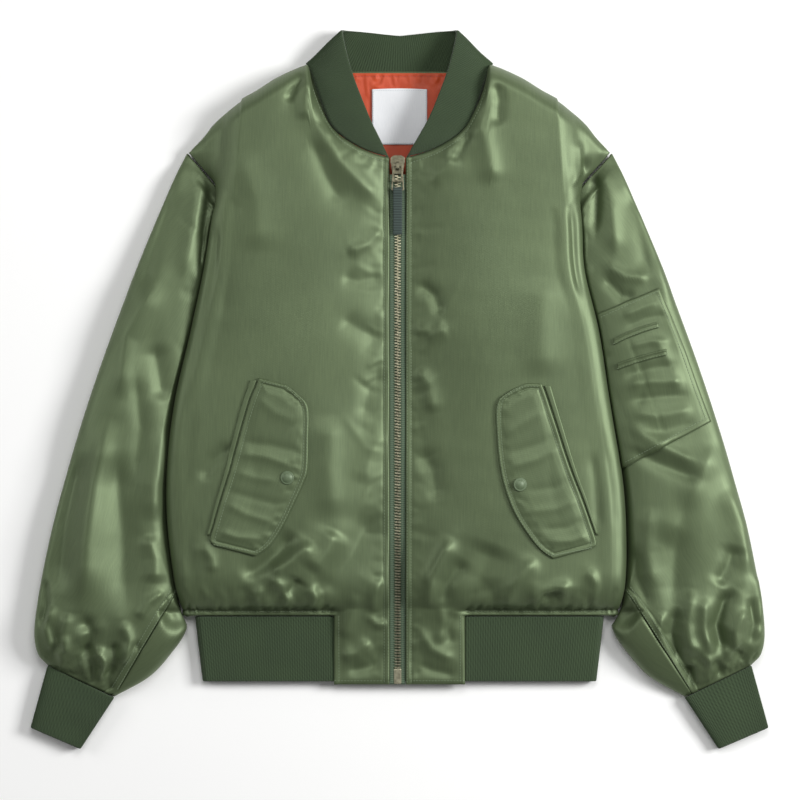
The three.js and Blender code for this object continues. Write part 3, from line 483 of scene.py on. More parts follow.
def front_relief(side, grid, upward, from_top):
    """The height of creases, sewn bands and hem puckers. Near its seams the cloth is held flat."""
    gx, gy = grid[:, :, 0], grid[:, :, 1]
    from_zip = abs(gx) - (ZIP_EDGE + side * ZIP_X)
    beyond_tab = abs(gx) > TAB_X - SEAM + 0.01
    from_hem = np.where(beyond_tab, gy - HEM_Y, gy - TAB_BOTTOM_Y)
    from_rib = np.where((gy < HEM_Y) & ~beyond_tab, TAB_X - abs(gx), FAR)
    from_side = abs(edge_x(side, gy) - abs(gx))
    calm = ease((from_top - 0.5) / 7) * ease(from_hem / 6) * ease((from_side - 2) / 10)
    calm = calm * ease(0.25 + from_zip / 5) * ease(from_rib / 5)
    swell = waves(gx, gy, size=150, height=0.9, seed=3 + side)
    ripple = waves(gx, gy, size=34, height=0.06, seed=7 + side)
    relief = calm * (crease_height(gx, gy, front_creases(side)) + swell + ripple)
    neck_band = sewn_band(from_top) * (1 - ease((abs(gx) - NECK_BAND_TO) / NECK_BAND_FADE))
    tab_band = sewn_band(from_rib) + 0.6 * sewn_band(from_hem) * ~beyond_tab
    relief += sewn_band(from_zip) + neck_band + tab_band
    at_hem = gathers(FRONT_SEED + side + 8, 66, hem_seam(side, 70, 224),
                     reach=(8, 13), width=(1.4, 2.4), height=(0.9, 2.0), lean=0.1)
    puckers = crease_height(gx, gy, at_hem) * (from_hem < HEM_PUCKERS)
    hem_band = beyond_tab * (1.5 * sewn_band(from_hem) + puckers)
    return relief * np.clip(upward, 0.1, 1) + hem_band


def front_piece(side):
    flat, tab = front_columns(side)
    x, y, z, from_top, crown = front_plane(side, flat)
    hem_row = len(y) - 1
    x, y, z = with_tab(x, y, z, crown)
    grid = facing_up(np.stack([side * x, y, z], axis=2), side)
    out = directions(grid)
    from_top = np.concatenate([from_top, np.full((len(y) - len(from_top), y.shape[1]), FAR)])
    relief = front_relief(side, grid, out[:, :, 2], facing_up(from_top, side))
    keep = np.ones(x.shape, bool)
    keep[hem_row:, tab:] = False
    if side == LEFT:
        keep = np.roll(keep[:, ::-1], -1, axis=1)
    grid = grid + out * relief[:, :, None]
    return cloth(f"front_cloth_{SIDE_NAMES[side]}", grid, SHELL, out, keep, in_plan=True)


fronts = {side: front_piece(side) for side in (RIGHT, LEFT)}
tell(*fronts.values())

# %% [markdown]
# The back lies on the table. Its edges turn up to the fronts along the shoulders and the side seams. It
# shows only when the jacket is turned over, so its folds are few and soft, like those of a back pressed
# by its own weight.

# %% Make the back
BACK_TURN, COLLAR_X, BACK_INSET = 16.0, 96.0, 5 * SEAM
SIDE_SEAM_TOP, SIDE_SEAM_FADE = 10.0, 35.0
BACK_SWELL, BACK_CALM_X, LINING_CALM = 1.2, 190.0, (66.0, 196.0)


def back_half(side, across, down):
    """One half of the back, lying on the table and turned up to the front at its top and side."""
    top_x = across * TOP["x"][-1]
    at_neck = top_x < COLLAR_X
    top_y = np.where(at_neck, BACK_NECK_Y, read(TOP, "y", top_x) - SEAM)
    y = blend(top_y, HEM_Y + SEAM, down)
    x = across * (edge_x(side, y) - BACK_INSET)
    from_side = (edge_x(side, y) - x) / BACK_TURN
    from_top = np.where(at_neck, 1, (top_y - y) / BACK_TURN)
    seam_z = blend(SIDE["hem_z"][-1], SIDE["side_z"][-1], hem_rise(y))
    seam_z = seam_z * np.clip((SIDE_SEAM_TOP - y) / SIDE_SEAM_FADE, 0, 1)
    lift = np.maximum((1 - round_up(from_side)) * seam_z, (1 - round_up(from_top)) * (SHOULDER_Z - SHELL))
    return np.stack([side * x, y, lift], axis=2)


def back_piece():
    across = np.concatenate([spaced(0, 0.9, 0.016), spaced(0.91, 1, 0.009)])[None, :]
    down = np.concatenate([spaced(0, 0.06, 0.005), spaced(0.067, 1, 0.0075)])[:, None]
    half = {side: back_half(side, across, down) for side in (RIGHT, LEFT)}
    smooth = np.concatenate([half[RIGHT][:, :0:-1], half[LEFT]], axis=1)
    gx, gy = smooth[:, :, 0], smooth[:, :, 1]
    under_lining = (1 - ease((abs(gx) - LINING_CALM[0]) / 20)) * ease((gy - LINING_CALM[1]) / 18)
    calm = ease((gy - HEM_Y) / 14) * (1 - under_lining) * ease((BACK_CALM_X - abs(gx)) / 30)
    swell = 0.5 + 0.5 * np.clip(waves(gx, gy, size=90, height=1.0, seed=31), -1, 1)
    at_hem = gathers(33, 60, lambda t: ((blend(-195, 195, t), HEM_Y + 4), (0, 1)),
                     reach=(20, 60), width=(3, 6), height=(0.5, 1.4))
    gathered = np.clip(crease_height(gx, gy, at_hem), 0, 3)
    fade = ease((gy - HEM_Y - 3) / 5) * ease((BACK_CALM_X - abs(gx)) / 20)
    grid = smooth.copy()
    grid[:, :, 2] += calm * BACK_SWELL * swell + gathered * fade
    return cloth("back_cloth", grid, SHELL, directions(smooth), in_plan=True)


back = back_piece()
tell(back)

# %% [markdown]
# Each sleeve is a wide tube of padded cloth, cut in two: a top that runs from the outer edge over the
# front to the felled seam, and an under sleeve that lies on the table. The tube could be a swept circle,
# but a laid sleeve is flat below and crowned above, and near the body it slips under the front, so each
# point is placed by its own rule.

# %% Creases of the sleeves
RIGHT_SLEEVE_FOLDS = [
    ([(-205, 236), (-216, 170), (-228, 112)], 10, 2.0), ([(-192, 232), (-204, 170), (-206, 120)], 5, -2.2),
    ([(-236, 214), (-258, 150), (-272, 100)], 12, -1.6), ([(-250, 114), (-284, 54), (-292, -14)], 12, 2.6),
    ([(-256, 48), (-250, 16), (-246, -14)], 12, -2.4),
    ([(-300, -28), (-318, -100), (-326, -164), (-330, -228)], 14, 4.2),
    ([(-335, -60), (-352, -140), (-360, -216)], 16, -3.4),
    ([(-297, -60), (-288, -150), (-286, -240)], 17, -3.6),
    ([(-264, -150), (-256, -176), (-256, -204)], 9, 2.4),
    ([(-238, -40), (-256, -100), (-258, -140)], 10, 1.8),
    ([(-276, 20), (-270, -40), (-276, -100)], 9, -1.6),
    ([(-246, -210), (-262, -222), (-274, -240)], 5, 1.8),
    ([(-332, -236), (-322, -254), (-330, -284)], 7, -3.2),
    ([(-345, -232), (-350, -256), (-346, -280)], 7, 2.4),
    ([(-318, -268), (-308, -282), (-314, -306)], 5, 3.0),
    ([(-362, -224), (-368, -250), (-362, -276)], 6, 2.4),
    ([(-300, -262), (-298, -284), (-308, -304)], 6, -3.0),
    ([(-290, -240), (-282, -262), (-288, -290)], 6, 2.2),
    ([(-374, -196), (-372, -226), (-376, -250)], 5, -2.0),
    ([(-276, -262), (-270, -276), (-278, -300)], 4, -1.8),
]
LEFT_SLEEVE_FOLDS = [
    ([(198, 240), (206, 206), (204, 160)], 5, -2.6), ([(212, 236), (222, 190), (226, 140)], 8, 2.2),
    ([(236, 214), (252, 168), (262, 116)], 11, -1.8), ([(246, 206), (268, 140), (284, 84)], 10, 1.8),
    ([(214, 132), (236, 118), (262, 116)], 5, 1.6), ([(212, 118), (232, 98), (248, 96)], 5, -1.8),
    ([(240, -36), (274, -60), (312, -78)], 6, 1.8), ([(238, -60), (268, -76), (318, -96)], 7, -1.8),
    ([(329, -54), (306, -108), (276, -164)], 17, 3.2), ([(352, -162), (345, -184), (332, -206)], 9, -2.8),
    ([(339, -282), (332, -246), (340, -222), (352, -208)], 7, -4.4),
    ([(326, -280), (318, -250), (318, -214)], 7, 2.6), ([(352, -276), (350, -252), (362, -228)], 6, 2.4),
    ([(300, -100), (288, -170), (286, -236)], 14, -2.6), ([(262, -120), (258, -170), (266, -210)], 9, 1.8),
    ([(340, -100), (356, -140), (364, -196)], 10, 2.0), ([(306, -206), (300, -244), (306, -284)], 8, 2.8),
    ([(290, -226), (284, -256), (292, -290)], 6, -2.6), ([(366, -216), (372, -244), (366, -270)], 6, -2.2),
    ([(372, -190), (377, -220), (376, -250)], 5, 1.6), ([(240, -160), (246, -196), (262, -232)], 7, -1.6),
    ([(276, -230), (270, -256), (280, -286)], 5, 1.8),
]
ARMHOLE_LENGTH, ARMHOLE_GAP, INNER_FROM = 3.0, 0.2, 8.5
TUCK, TUCK_AT_HEM, TUCK_AT_ARMHOLE = 8.0, -2.0, 19.0
EDGE_SHARE, INNER_EDGE_Z = 0.36, 4.6
OUTER_SEAM, SEAM_DEGREES = -42.0, 0.6
FELLED_FROM = {RIGHT: (-233.5, -212.5), LEFT: (233.5, -205)}
FELLED_TO = {RIGHT: (-292.5, -311), LEFT: (303, -313.5)}
FELLED_DEGREES, FELLED_AT_CUFF, FELLED_SHOWS, FELLED_STEP = (100.0, 168.0), 150.0, (7.6, 8.6), 0.1
FELL_WIDTH = 6.5
BESIDE_BODY = table(
    "out under shoulder",
    (0, 9.2, 13.6), (10, 9.2, 17.4), (16, 10.5, 20), (19, 14, 22), (21.5, 22, 24), (24, 27.5, 27),
    (28, 32, 30), (34, 36, 34), (48, 60, 60),
)


def inner_edge(side, along, inner_y):
    """Where the sleeve's inner edge lies: tucked under the front beside the body, free near the cuff."""
    near_hem = 1 - np.clip((inner_y - HEM_Y - 12) / 40, 0, 1)
    tuck = blend(blend(TUCK, TUCK_AT_HEM, near_hem), TUCK_AT_ARMHOLE, 1 - np.clip(along, 0, 1))
    own = np.where(along > INNER_FROM, read(SLEEVE, "inner_x", along), 0)
    return np.maximum(own, fold_x(side, inner_y) - tuck)


def to_armhole(side, along, across):
    """How far the first rings are moved sideways, so that the sleeve's head follows the armhole's curve."""
    hold = np.clip(1 - along / ARMHOLE_LENGTH, 0, 1) ** 2
    hole_y = blend(SHOULDER_TO, UNDERARM_Y, across)
    ends = [edge_x(side, end) + ARMHOLE_GAP for end in (SHOULDER_TO, UNDERARM_Y)]
    return hold * (edge_x(side, hole_y) + ARMHOLE_GAP - blend(*ends, across))


def sleeve_point(side, along, degrees):
    """A sleeve's points: along the arm, and round it in degrees from the outer edge over the top."""
    turn = np.radians(degrees)
    across, rise = (1 - np.cos(turn)) / 2, np.sin(turn)
    inner_y, height = read(SLEEVE, "inner_y", along), read(SLEEVE, "z", along)
    x = blend(read(SLEEVE, "outer_x", along), inner_edge(side, along, inner_y), across)
    y = blend(read(SLEEVE, "outer_y", along), inner_y, across)
    x = x + to_armhole(side, along, across)
    middle = blend(EDGE_SHARE * height, np.minimum(INNER_EDGE_Z, EDGE_SHARE * height), across)
    below = middle * (1 - round_up(-2.2 * rise))
    full = blend(middle, height, np.maximum(rise, 0) ** 0.55)
    out = x - edge_x(side, y)
    under, at_shoulder = read(BESIDE_BODY, "under", out), read(BESIDE_BODY, "shoulder", out)
    beside = blend(0.5, 1, hem_rise(y)) * blend(under, at_shoulder, shoulder(y))
    free = np.maximum(ease((HEM_Y - 2 - y) / 24), ease((out - 38) / 9))
    above = blend(np.minimum(full, beside), full, free)
    return np.stack([side * x, y, np.where(rise < 0, below, above)], axis=2)


def felled_seam(side, along):
    """Degrees round the arm at which each ring meets the felled seam, a straight line seen from above."""
    start, end = np.array(FELLED_FROM[side]), np.array(FELLED_TO[side])
    tries = spaced(*FELLED_DEGREES, FELLED_STEP)
    plan = sleeve_point(side, along, tries[None, :])[:, :, :2] - start
    run = (end - start) / np.linalg.norm(end - start)
    off = abs(plan[:, :, 0] * run[1] - plan[:, :, 1] * run[0])
    most = blend(FELLED_DEGREES[1], FELLED_AT_CUFF, ease(along - 12))
    degrees = np.minimum(tries[off.argmin(axis=1)][:, None], most)
    shown = ease((along - FELLED_SHOWS[0]) / (FELLED_SHOWS[1] - FELLED_SHOWS[0]))
    return blend(FELLED_DEGREES[1], degrees, shown)


SLEEVE_FOLDS = {RIGHT: RIGHT_SLEEVE_FOLDS, LEFT: LEFT_SLEEVE_FOLDS}
SLEEVE_DEEPER, CUFF_OUTER, CUFF_INNER = (1.0, 2.3), (370, -286), (300, -320)
FELL_RISE, FELL_GROOVE, SEWN_FROM, SMOOTH_INSIDE = 0.8, 0.6, 0.3, 22.0


def cuff_seam(side):
    def place(t):
        x, y = (blend(outer, inner, t) for outer, inner in zip(CUFF_OUTER, CUFF_INNER))
        return (side * x, y), (side * -0.12, 0.99)
    return place


def armhole_seam(side):
    def place(t):
        y = blend(SHOULDER_TO - 6, 20, t)
        return (side * (edge_x(side, y) + ARMHOLE_GAP + 2), y), (side * 0.95, -0.3)
    return place


def sleeve_creases(side):
    """The drawn folds, the long and short gathers over the cuff, and those that run from the armhole."""
    at_cuff, at_armhole = cuff_seam(side), armhole_seam(side)
    return (deeper(SLEEVE_FOLDS[side], *SLEEVE_DEEPER)
            + gathers(50 + side, 17, at_cuff, reach=(20, 70), width=(5, 9.5), height=(1.8, 4.4), lean=0.25)
            + gathers(60 + side, 24, at_cuff, reach=(5, 16), width=(2.0, 3.4), height=(0.6, 1.3), lean=0.3)
            + gathers(70 + side, 26, at_armhole, reach=(14, 46), width=(3, 6), height=(0.5, 1.3), lean=0.3))


def sleeve_relief(side, grid, upward, along, share, from_fell):
    """The height of the creases, and of the felled seam's raised band and its groove."""
    gx, gy = grid[:, :, 0], grid[:, :, 1]
    calm = ease(along / 0.16) * ease((13 - along) / 0.12) * ease(0.2 + from_fell / 9) * ease(share * 14)
    swell = waves(gx, gy, size=120, height=0.9, seed=81 + side)
    ripple = waves(gx, gy, size=32, height=0.06, seed=85 + side)
    relief = calm * (crease_height(gx, gy, sleeve_creases(side)) + swell + ripple)
    band = ease((from_fell + 0.5) / 1.2) * (1 - ease((from_fell - FELL_WIDTH + 1) / 1.6))
    groove = np.exp(-(((from_fell - FELL_WIDTH) / 1.2) ** 2))
    relief += (FELL_RISE * band - FELL_GROOVE * groove) * ease(along / SEWN_FROM)
    below_hem = gy <= HEM_Y - 12
    beside_body = np.clip((abs(gx) - edge_x(side, gy)) / SMOOTH_INSIDE, 0, 1)
    return np.where(relief > 0, relief * np.where(below_hem, 1, beside_body), relief) * upward


def sleeve_top(side):
    along = np.concatenate([spaced(0, 10, 2.6 / 54), spaced(10, 13, 0.085)[1:]])[:, None]
    share = np.concatenate([
        spaced(0, 0.34, 0.013), spaced(0.34, 0.91, 0.0105)[1:], spaced(0.91, 1, 0.005)[1:]])
    degrees = blend(OUTER_SEAM + SEAM_DEGREES, felled_seam(side, along) - SEAM_DEGREES, share[None, :])
    grid = facing_up(sleeve_point(side, along, degrees), -side)
    out = directions(grid)
    width = np.linalg.norm(np.diff(grid, axis=1), axis=2).sum(1)[:, None]
    share = facing_up(np.broadcast_to(share, grid.shape[:2]), -side)
    from_fell = (1 - share) * width * 0.9
    relief = sleeve_relief(side, grid, np.clip(out[:, :, 2], 0, 1), along, share, from_fell)
    return cloth(f"sleeve_top_cloth_{SIDE_NAMES[side]}", grid + out * relief[:, :, None], SHELL, out)


def sleeve_under(side):
    along = spaced(0, 13, 0.12)[:, None]
    felled = felled_seam(side, along) + SEAM_DEGREES
    degrees = blend(felled, 360 + OUTER_SEAM - SEAM_DEGREES, spaced(0, 1, 0.0165)[None, :])
    grid = facing_up(sleeve_point(side, along, degrees), -side)
    return cloth(f"sleeve_under_cloth_{SIDE_NAMES[side]}", grid, SHELL)


sleeve_tops = {side: sleeve_top(side) for side in (RIGHT, LEFT)}
sleeve_unders = {side: sleeve_under(side) for side in (RIGHT, LEFT)}
for side, word in SIDE_NAMES.items():
    shown = felled_seam(side, np.array([[10.0], [12.0]])).round(1).ravel().tolist()
    print("felled seam", word, "at rings 10 and 12:", shown, "degrees round the arm")
tell(*sleeve_tops.values(), *sleeve_unders.values())

# %% [markdown]
# Collar, cuffs and waistband are one rib knit: ridges of knitted loops with valleys between them, 2.4 mm
# apart, that let the band stretch and grip. The ridges are real here, because they catch the light from
# the side. A bump map alone would leave the edges smooth.

# %% Knit the cuffs
RIB_PITCH, RIB_DEPTH, RIB_POINTS, RIB_WALL = 2.4, 0.34, 4, RIB - 0.6


def rib_ridge(columns):
    """The height of the ribs across that many columns, from 0 on a ridge down to the valleys."""
    return RIB_DEPTH * (np.cos(2 * math.pi * np.arange(columns) / RIB_POINTS) - 1)[None, :]


def rib_edge(share, depth, reach):
    """How far the knit rounds off near an edge, by each row's share of the way from it."""
    return -depth * (1 - round_up(share / reach))


CUFF_SEAM, CUFF_END = ((369, -289), (299, -323)), ((387, -354.5), (334.5, -377))
CUFF_Z, CUFF_ROUND = (15.0, 13.0), 2 * 76


def cuff_piece(side):
    turn = np.linspace(0, 2 * math.pi, round(CUFF_ROUND / RIB_PITCH) * RIB_POINTS, endpoint=False)[None, :]
    down = np.concatenate([[0, 0.01, 0.03], spaced(0.06, 0.94, 0.05), [0.97, 0.99, 1]])[:, None]
    corner = lambda i, j: blend(CUFF_SEAM[i][j], CUFF_END[i][j], down)
    across = (1 - np.cos(turn)) / 2
    x, y = (blend(corner(0, axis), corner(1, axis), across) for axis in (0, 1))
    z = blend(*CUFF_Z, down) / 2 * (1 + np.sign(np.sin(turn)) * round_up(1.6 * abs(np.sin(turn))))
    grid = facing_up(np.stack([side * x, y, z], axis=2), -side)
    out = directions(grid, True)
    soft = waves(grid[:, :, 0], grid[:, :, 1], size=46, height=0.4, seed=91 + side)
    relief = rib_ridge(grid.shape[1]) + rib_edge(np.minimum(down, 1 - down), depth=0.9, reach=0.03)
    grid = grid + out * (relief + soft * np.clip(out[:, :, 2], 0, 1))[:, :, None]
    return cloth(f"cuff_knit_{SIDE_NAMES[side]}", grid, RIB_WALL, out, closed=True)


cuffs = {side: cuff_piece(side) for side in (RIGHT, LEFT)}
tell(*cuffs.values())

# %% [markdown]
# The collar is one band that starts at the zip, folds over at each shoulder and passes behind the neck.
# Its ribs run from the seam to the top edge.

# %% Knit the collar
COLLAR_ROUND, COLLAR_LAP, LAP_FROM = 330, 2.6, -0.07
COLLAR_PUFF, PUFF_TO, SUNK_IN_FRONT = 1.2, 9, 2.4


def collar_half(side, along, up):
    """One half of the band, from the zip to the middle of the neck and from the seam up to the top edge."""
    ends = [[read(COLLAR, f"{end}_{axis}", along) for axis in "xyz"] for end in ("seam", "top")]
    seam, top = (np.stack(end, axis=2) for end in ends)
    off = (seam - top) * (1, 1, 0)
    off /= np.maximum(np.linalg.norm(off, axis=2, keepdims=True), 1e-6)
    lap = np.minimum(up / LAP_FROM, 1).clip(0)
    point = blend(seam, top, np.maximum(up, 0)[:, :, None]) + off * COLLAR_LAP * lap[:, :, None]
    puff = np.where(along < PUFF_TO, COLLAR_PUFF * np.sin(math.pi * np.maximum(up, 0)), 0)
    sunk = SUNK_IN_FRONT * lap * np.clip((10 - along) / 3, 0, 1)
    x = side * point[:, :, 0] + ZIP_X * np.clip(1 - along / 4, 0, 1)
    return np.stack([x, point[:, :, 1], point[:, :, 2] + puff - sunk], axis=2)


def collar_piece():
    columns = round(COLLAR_ROUND / RIB_PITCH) * RIB_POINTS + 1
    along = np.linspace(0, COLLAR["along"][-1], columns)[:, None]
    up = np.concatenate([[-0.07, -0.03, 0], spaced(0.05, 0.92, 0.09), [0.96, 0.985, 1]])[None, :]
    band = np.concatenate([collar_half(RIGHT, along, up), collar_half(LEFT, along, up)[-2::-1]])
    grid = band.transpose(1, 0, 2)[:, ::-1]
    out = directions(grid)
    soft = waves(grid[:, :, 0], grid[:, :, 1], size=60, height=0.5, seed=95)
    relief = rib_ridge(grid.shape[1]) + rib_edge((1 - up).T, depth=0.8, reach=0.035)
    grid = grid + out * (relief + soft * np.sin(math.pi * np.maximum(up, 0)).T)[:, :, None]
    return cloth("collar_knit", grid, RIB_WALL, out)


collar = collar_piece()
tell(collar)

# %% [markdown]
# The waistband lies flat on the table behind, turns up round each side in a roll, and comes over the front
# as far as the shell tabs beside the zip.

# %% Knit the waistband
BAND_FOLD, BAND_Z = (214.5, 206.5), (HEM_Z - 0.5, 12.5)
FRONT_LONG, TURN_LONG, BEHIND_LONG = 128, 7, 200


def band_piece():
    down = np.concatenate([[0, 0.012, 0.035], spaced(0.07, 0.93, 0.11), [0.965, 0.988, 1]])[:, None]
    high = blend(*BAND_Z, down)
    radius = high / 2
    fold = blend(*BAND_FOLD, down) - radius
    step = RIB_PITCH / RIB_POINTS
    front = spaced(0, 1, step / FRONT_LONG)[None, :]
    turn = spaced(0, math.pi, step / TURN_LONG)[None, 1:]
    behind = spaced(0, 1, step / BEHIND_LONG)[None, 1:]
    across = np.concatenate(
        [blend(TAB_X, fold, front), fold + radius * np.sin(turn), blend(fold, 0, behind)], axis=1)
    height = np.concatenate([high + 0 * front, radius + radius * np.cos(turn), 0 * down + 0 * behind], axis=1)
    y = blend(HEM_Y - CLEAR, BAND_BOTTOM_Y, down) + 0 * across
    half = {side: np.stack([side * across, y, height], axis=2) for side in (RIGHT, LEFT)}
    grid = np.concatenate([half[RIGHT], half[LEFT][:, -2::-1]], axis=1)
    out = directions(grid)
    soft = waves(grid[:, :, 0], grid[:, :, 1], size=70, height=0.45, seed=97)
    soft = soft * np.clip(out[:, :, 2], 0, 1) * np.sin(math.pi * down)
    relief = rib_ridge(grid.shape[1]) + rib_edge(np.minimum(down, 1 - down), depth=0.8, reach=0.035)
    grid = grid + out * (relief + soft)[:, :, None]
    return cloth("hem_knit", grid, RIB_WALL, out)


waistband = band_piece()
tell(waistband)

# %% [markdown]
# Flaps, welts, the sleeve pocket and its pen slots lie on the cloth below them. Each is drawn in plan,
# then every point is dropped onto that cloth and lifted by its own thickness, so that it follows the
# folds as sewn cloth does.

# %% Lay a piece on the cloth below
def cloth_below(*pieces):
    """A search tree over some pieces as they are now, in millimetres."""
    points, faces = [], []
    for piece in pieces:
        first = len(points)
        points += [tuple(vertex.co / MM) for vertex in piece.data.vertices]
        faces += [tuple(first + v for v in polygon.vertices) for polygon in piece.data.polygons]
    return BVHTree.FromPolygons(points, faces)


def drop(tree, plan):
    """The highest point of the cloth below each plan point, and the way it faces."""
    flat = plan.reshape(-1, 2)
    found, facing = np.zeros((len(flat), 3)), np.zeros((len(flat), 3))
    for i, (x, y) in enumerate(flat):
        point, out, _, _ = tree.ray_cast(Vector((x, y, 200)), Vector((0, 0, -1)))
        found[i], facing[i] = point, out
    return found.reshape(*plan.shape[:2], 3), facing.reshape(*plan.shape[:2], 3)


def smoothed(values, times=2):
    """Each value evened out with its four neighbours, a few times."""
    for _ in range(times):
        padded = np.pad(values, ((1, 1), (1, 1), (0, 0)), mode="edge")
        beside = padded[:-2, 1:-1] + padded[2:, 1:-1] + padded[1:-1, :-2] + padded[1:-1, 2:]
        values = (beside + 2 * values) / 6
    return values


def laid_on(tree, plan, thickness, clear=CLEAR, times=2):
    """The plan's points on the cloth, lifted, and the smoothed way they face."""
    found, facing = drop(tree, plan)
    facing = smoothed(facing, 4)
    facing /= np.linalg.norm(facing, axis=2, keepdims=True)
    lowest = found[:, :, 2]
    high = np.maximum(smoothed(found, times)[:, :, 2], lowest)
    found = np.dstack([found[:, :, :2], high])
    return found + facing * (thickness + clear), facing


# %% [markdown]
# A pocket flap is two layers of nylon with padding between, turned out and sewn round 5 mm from its edge.
# That row pinches it, so it has a soft rim, a groove and a low pillow. Its creases run slantwise, and a
# snap holds it down.

# %% Make the pocket flaps and welts
FLAP, WELT = 2.2, 1.6
FLAP_ROWS = {
    RIGHT: table(
        "down back_x back_y front_x front_y",
        (0, -146.5, 12, -119, 5), (1, -149.5, 3, -106, -5), (2, -155, -10, -95.5, -19),
        (3, -163.5, -38, -95, -55), (4, -171, -66, -96, -84), (5, -178, -91, -100.5, -98),
        (6, -186.5, -118, -111, -121), (7, -193, -141, -122, -143), (8, -197.5, -157, -135, -162),
        (9, -193, -163, -150.5, -173.5)),
    LEFT: table(
        "down back_x back_y front_x front_y",
        (0, 148, 6, 133, 6.5), (1, 151, -2, 113, -3), (2, 154.5, -12, 101, -16), (3, 163, -38, 101.5, -53),
        (4, 172, -66, 105, -84), (5, 180, -89, 111, -108), (6, 189.5, -113, 120, -130),
        (7, 197.5, -136, 134, -152), (8, 205, -160, 146.5, -167), (9, 199, -166, 160, -176.5)),
}
FLAP_CREASES = {
    RIGHT: [
        ([(-170, -66), (-140, -70), (-106, -82)], 5, 1.5), ([(-168, -54), (-134, -58), (-102, -66)], 5, -1.0),
        ([(-186, -116), (-160, -130), (-128, -140)], 4.5, 1.2),
        ([(-184, -104), (-158, -112), (-118, -122)], 5, -1.0),
        ([(-192, -146), (-170, -154), (-140, -156)], 4, 1.2),
        ([(-176, -84), (-152, -92), (-126, -96)], 5, 0.9), ([(-150, -6), (-130, -24), (-104, -34)], 5, 0.8),
        ([(-158, -26), (-150, -90), (-158, -150)], 7, -0.6)],
    LEFT: [
        ([(157, -20), (130, -34), (106, -50)], 5, 0.9), ([(170, -58), (146, -72), (112, -82)], 5, 1.3),
        ([(166, -48), (142, -58), (108, -68)], 5, -1.0), ([(190, -112), (166, -124), (130, -128)], 5, 1.1),
        ([(194, -134), (174, -144), (146, -146)], 4.5, -1.1),
        ([(198, -150), (180, -158), (154, -158)], 4, 1.2),
        ([(182, -92), (162, -102), (130, -106)], 5, -0.9), ([(160, -30), (156, -90), (170, -150)], 7, -0.5)],
}
FLAP_STITCH = 5.0
front_cloth = {side: cloth_below(fronts[side]) for side in (RIGHT, LEFT)}


def flap_plan(side, down, across):
    rows = FLAP_ROWS[side]
    place = lambda axis: blend(read(rows, f"back_{axis}", down), read(rows, f"front_{axis}", down), across)
    return np.dstack([place("x"), place("y")])


def rim_distance(plan):
    """How far each plan point lies from the plan's rim, in millimetres."""
    rim = np.concatenate([plan[0], plan[:, -1], plan[-1, ::-1], plan[::-1, 0]])
    gaps = [np.hypot(plan[:, :, 0] - x, plan[:, :, 1] - y) for x, y in rim]
    return np.min(gaps, axis=0)


def flap_piece(side):
    down = np.concatenate([spaced(0, 1, 0.07), spaced(1, 8, 0.085)[1:], spaced(8, 9, 0.07)[1:]])[:, None]
    across = np.concatenate([[0, 0.008, 0.02], spaced(0.04, 0.96, 0.027), [0.98, 0.992, 1]])[None, :]
    plan = flap_plan(side, down, across)
    grid, out = laid_on(front_cloth[side], plan, FLAP, times=6)
    inward = rim_distance(plan)
    rim = -1.3 * (1 - round_up(inward / 1.6)) - 0.8 * np.exp(-(((inward - FLAP_STITCH) / 1.1) ** 2))
    pillow = ease((inward - FLAP_STITCH - 0.6) / 9)
    puckers = gathers(110 + side, 34, lambda t: flap_rim(side, t),
                      reach=(5, 14), width=(1.6, 3), height=(0.25, 0.7))
    creases = crease_height(plan[:, :, 0], plan[:, :, 1], FLAP_CREASES[side] + puckers)
    grid = grid + out * (rim + pillow + creases * ease(inward / 4) + 0.5)[:, :, None]
    grid, out = facing_up(grid, -side), facing_up(out, -side)
    return cloth(f"flap_cloth_{SIDE_NAMES[side]}", grid, FLAP, out)


def flap_rim(side, t):
    """A point on the flap's stitch line and the way inwards, a share t of the way along its front edge."""
    down = np.array([[blend(0.5, 8.5, t)]])
    (x, y), (mid_x, mid_y) = flap_plan(side, down, 0.9)[0, 0], flap_plan(side, down, 0.5)[0, 0]
    size = math.hypot(mid_x - x, mid_y - y)
    return (x, y), ((mid_x - x) / size, (mid_y - y) / size)


def welt_piece(side):
    """The folded strip that shows beyond the flap's back edge."""
    rows = FLAP_ROWS[side]
    down = spaced(0.3, 7.6, 0.1)[:, None]
    out_by = blend(1.5, blend(9, 4, down / 8), spaced(0, 1, 0.14)[None, :])
    plan = np.dstack([read(rows, "back_x", down) + side * out_by, read(rows, "back_y", down) + 0 * out_by])
    grid, out = laid_on(front_cloth[side], plan, WELT)
    grid = grid - out * (0.9 * (1 - round_up(np.sin(math.pi * spaced(0, 1, 0.14)) * 1.4)))[None, :, None]
    return cloth(f"welt_cloth_{SIDE_NAMES[side]}", facing_up(grid, side), WELT, facing_up(out, side))


flaps = {side: flap_piece(side) for side in (RIGHT, LEFT)}
welts = {side: welt_piece(side) for side in (RIGHT, LEFT)}
tell(*flaps.values(), *welts.values())

# %% [markdown]
# The utility pocket on the wearer's left sleeve has two slots for pens, each a folded edge that stands a
# little proud. The arm's bend creases it more than any other place.

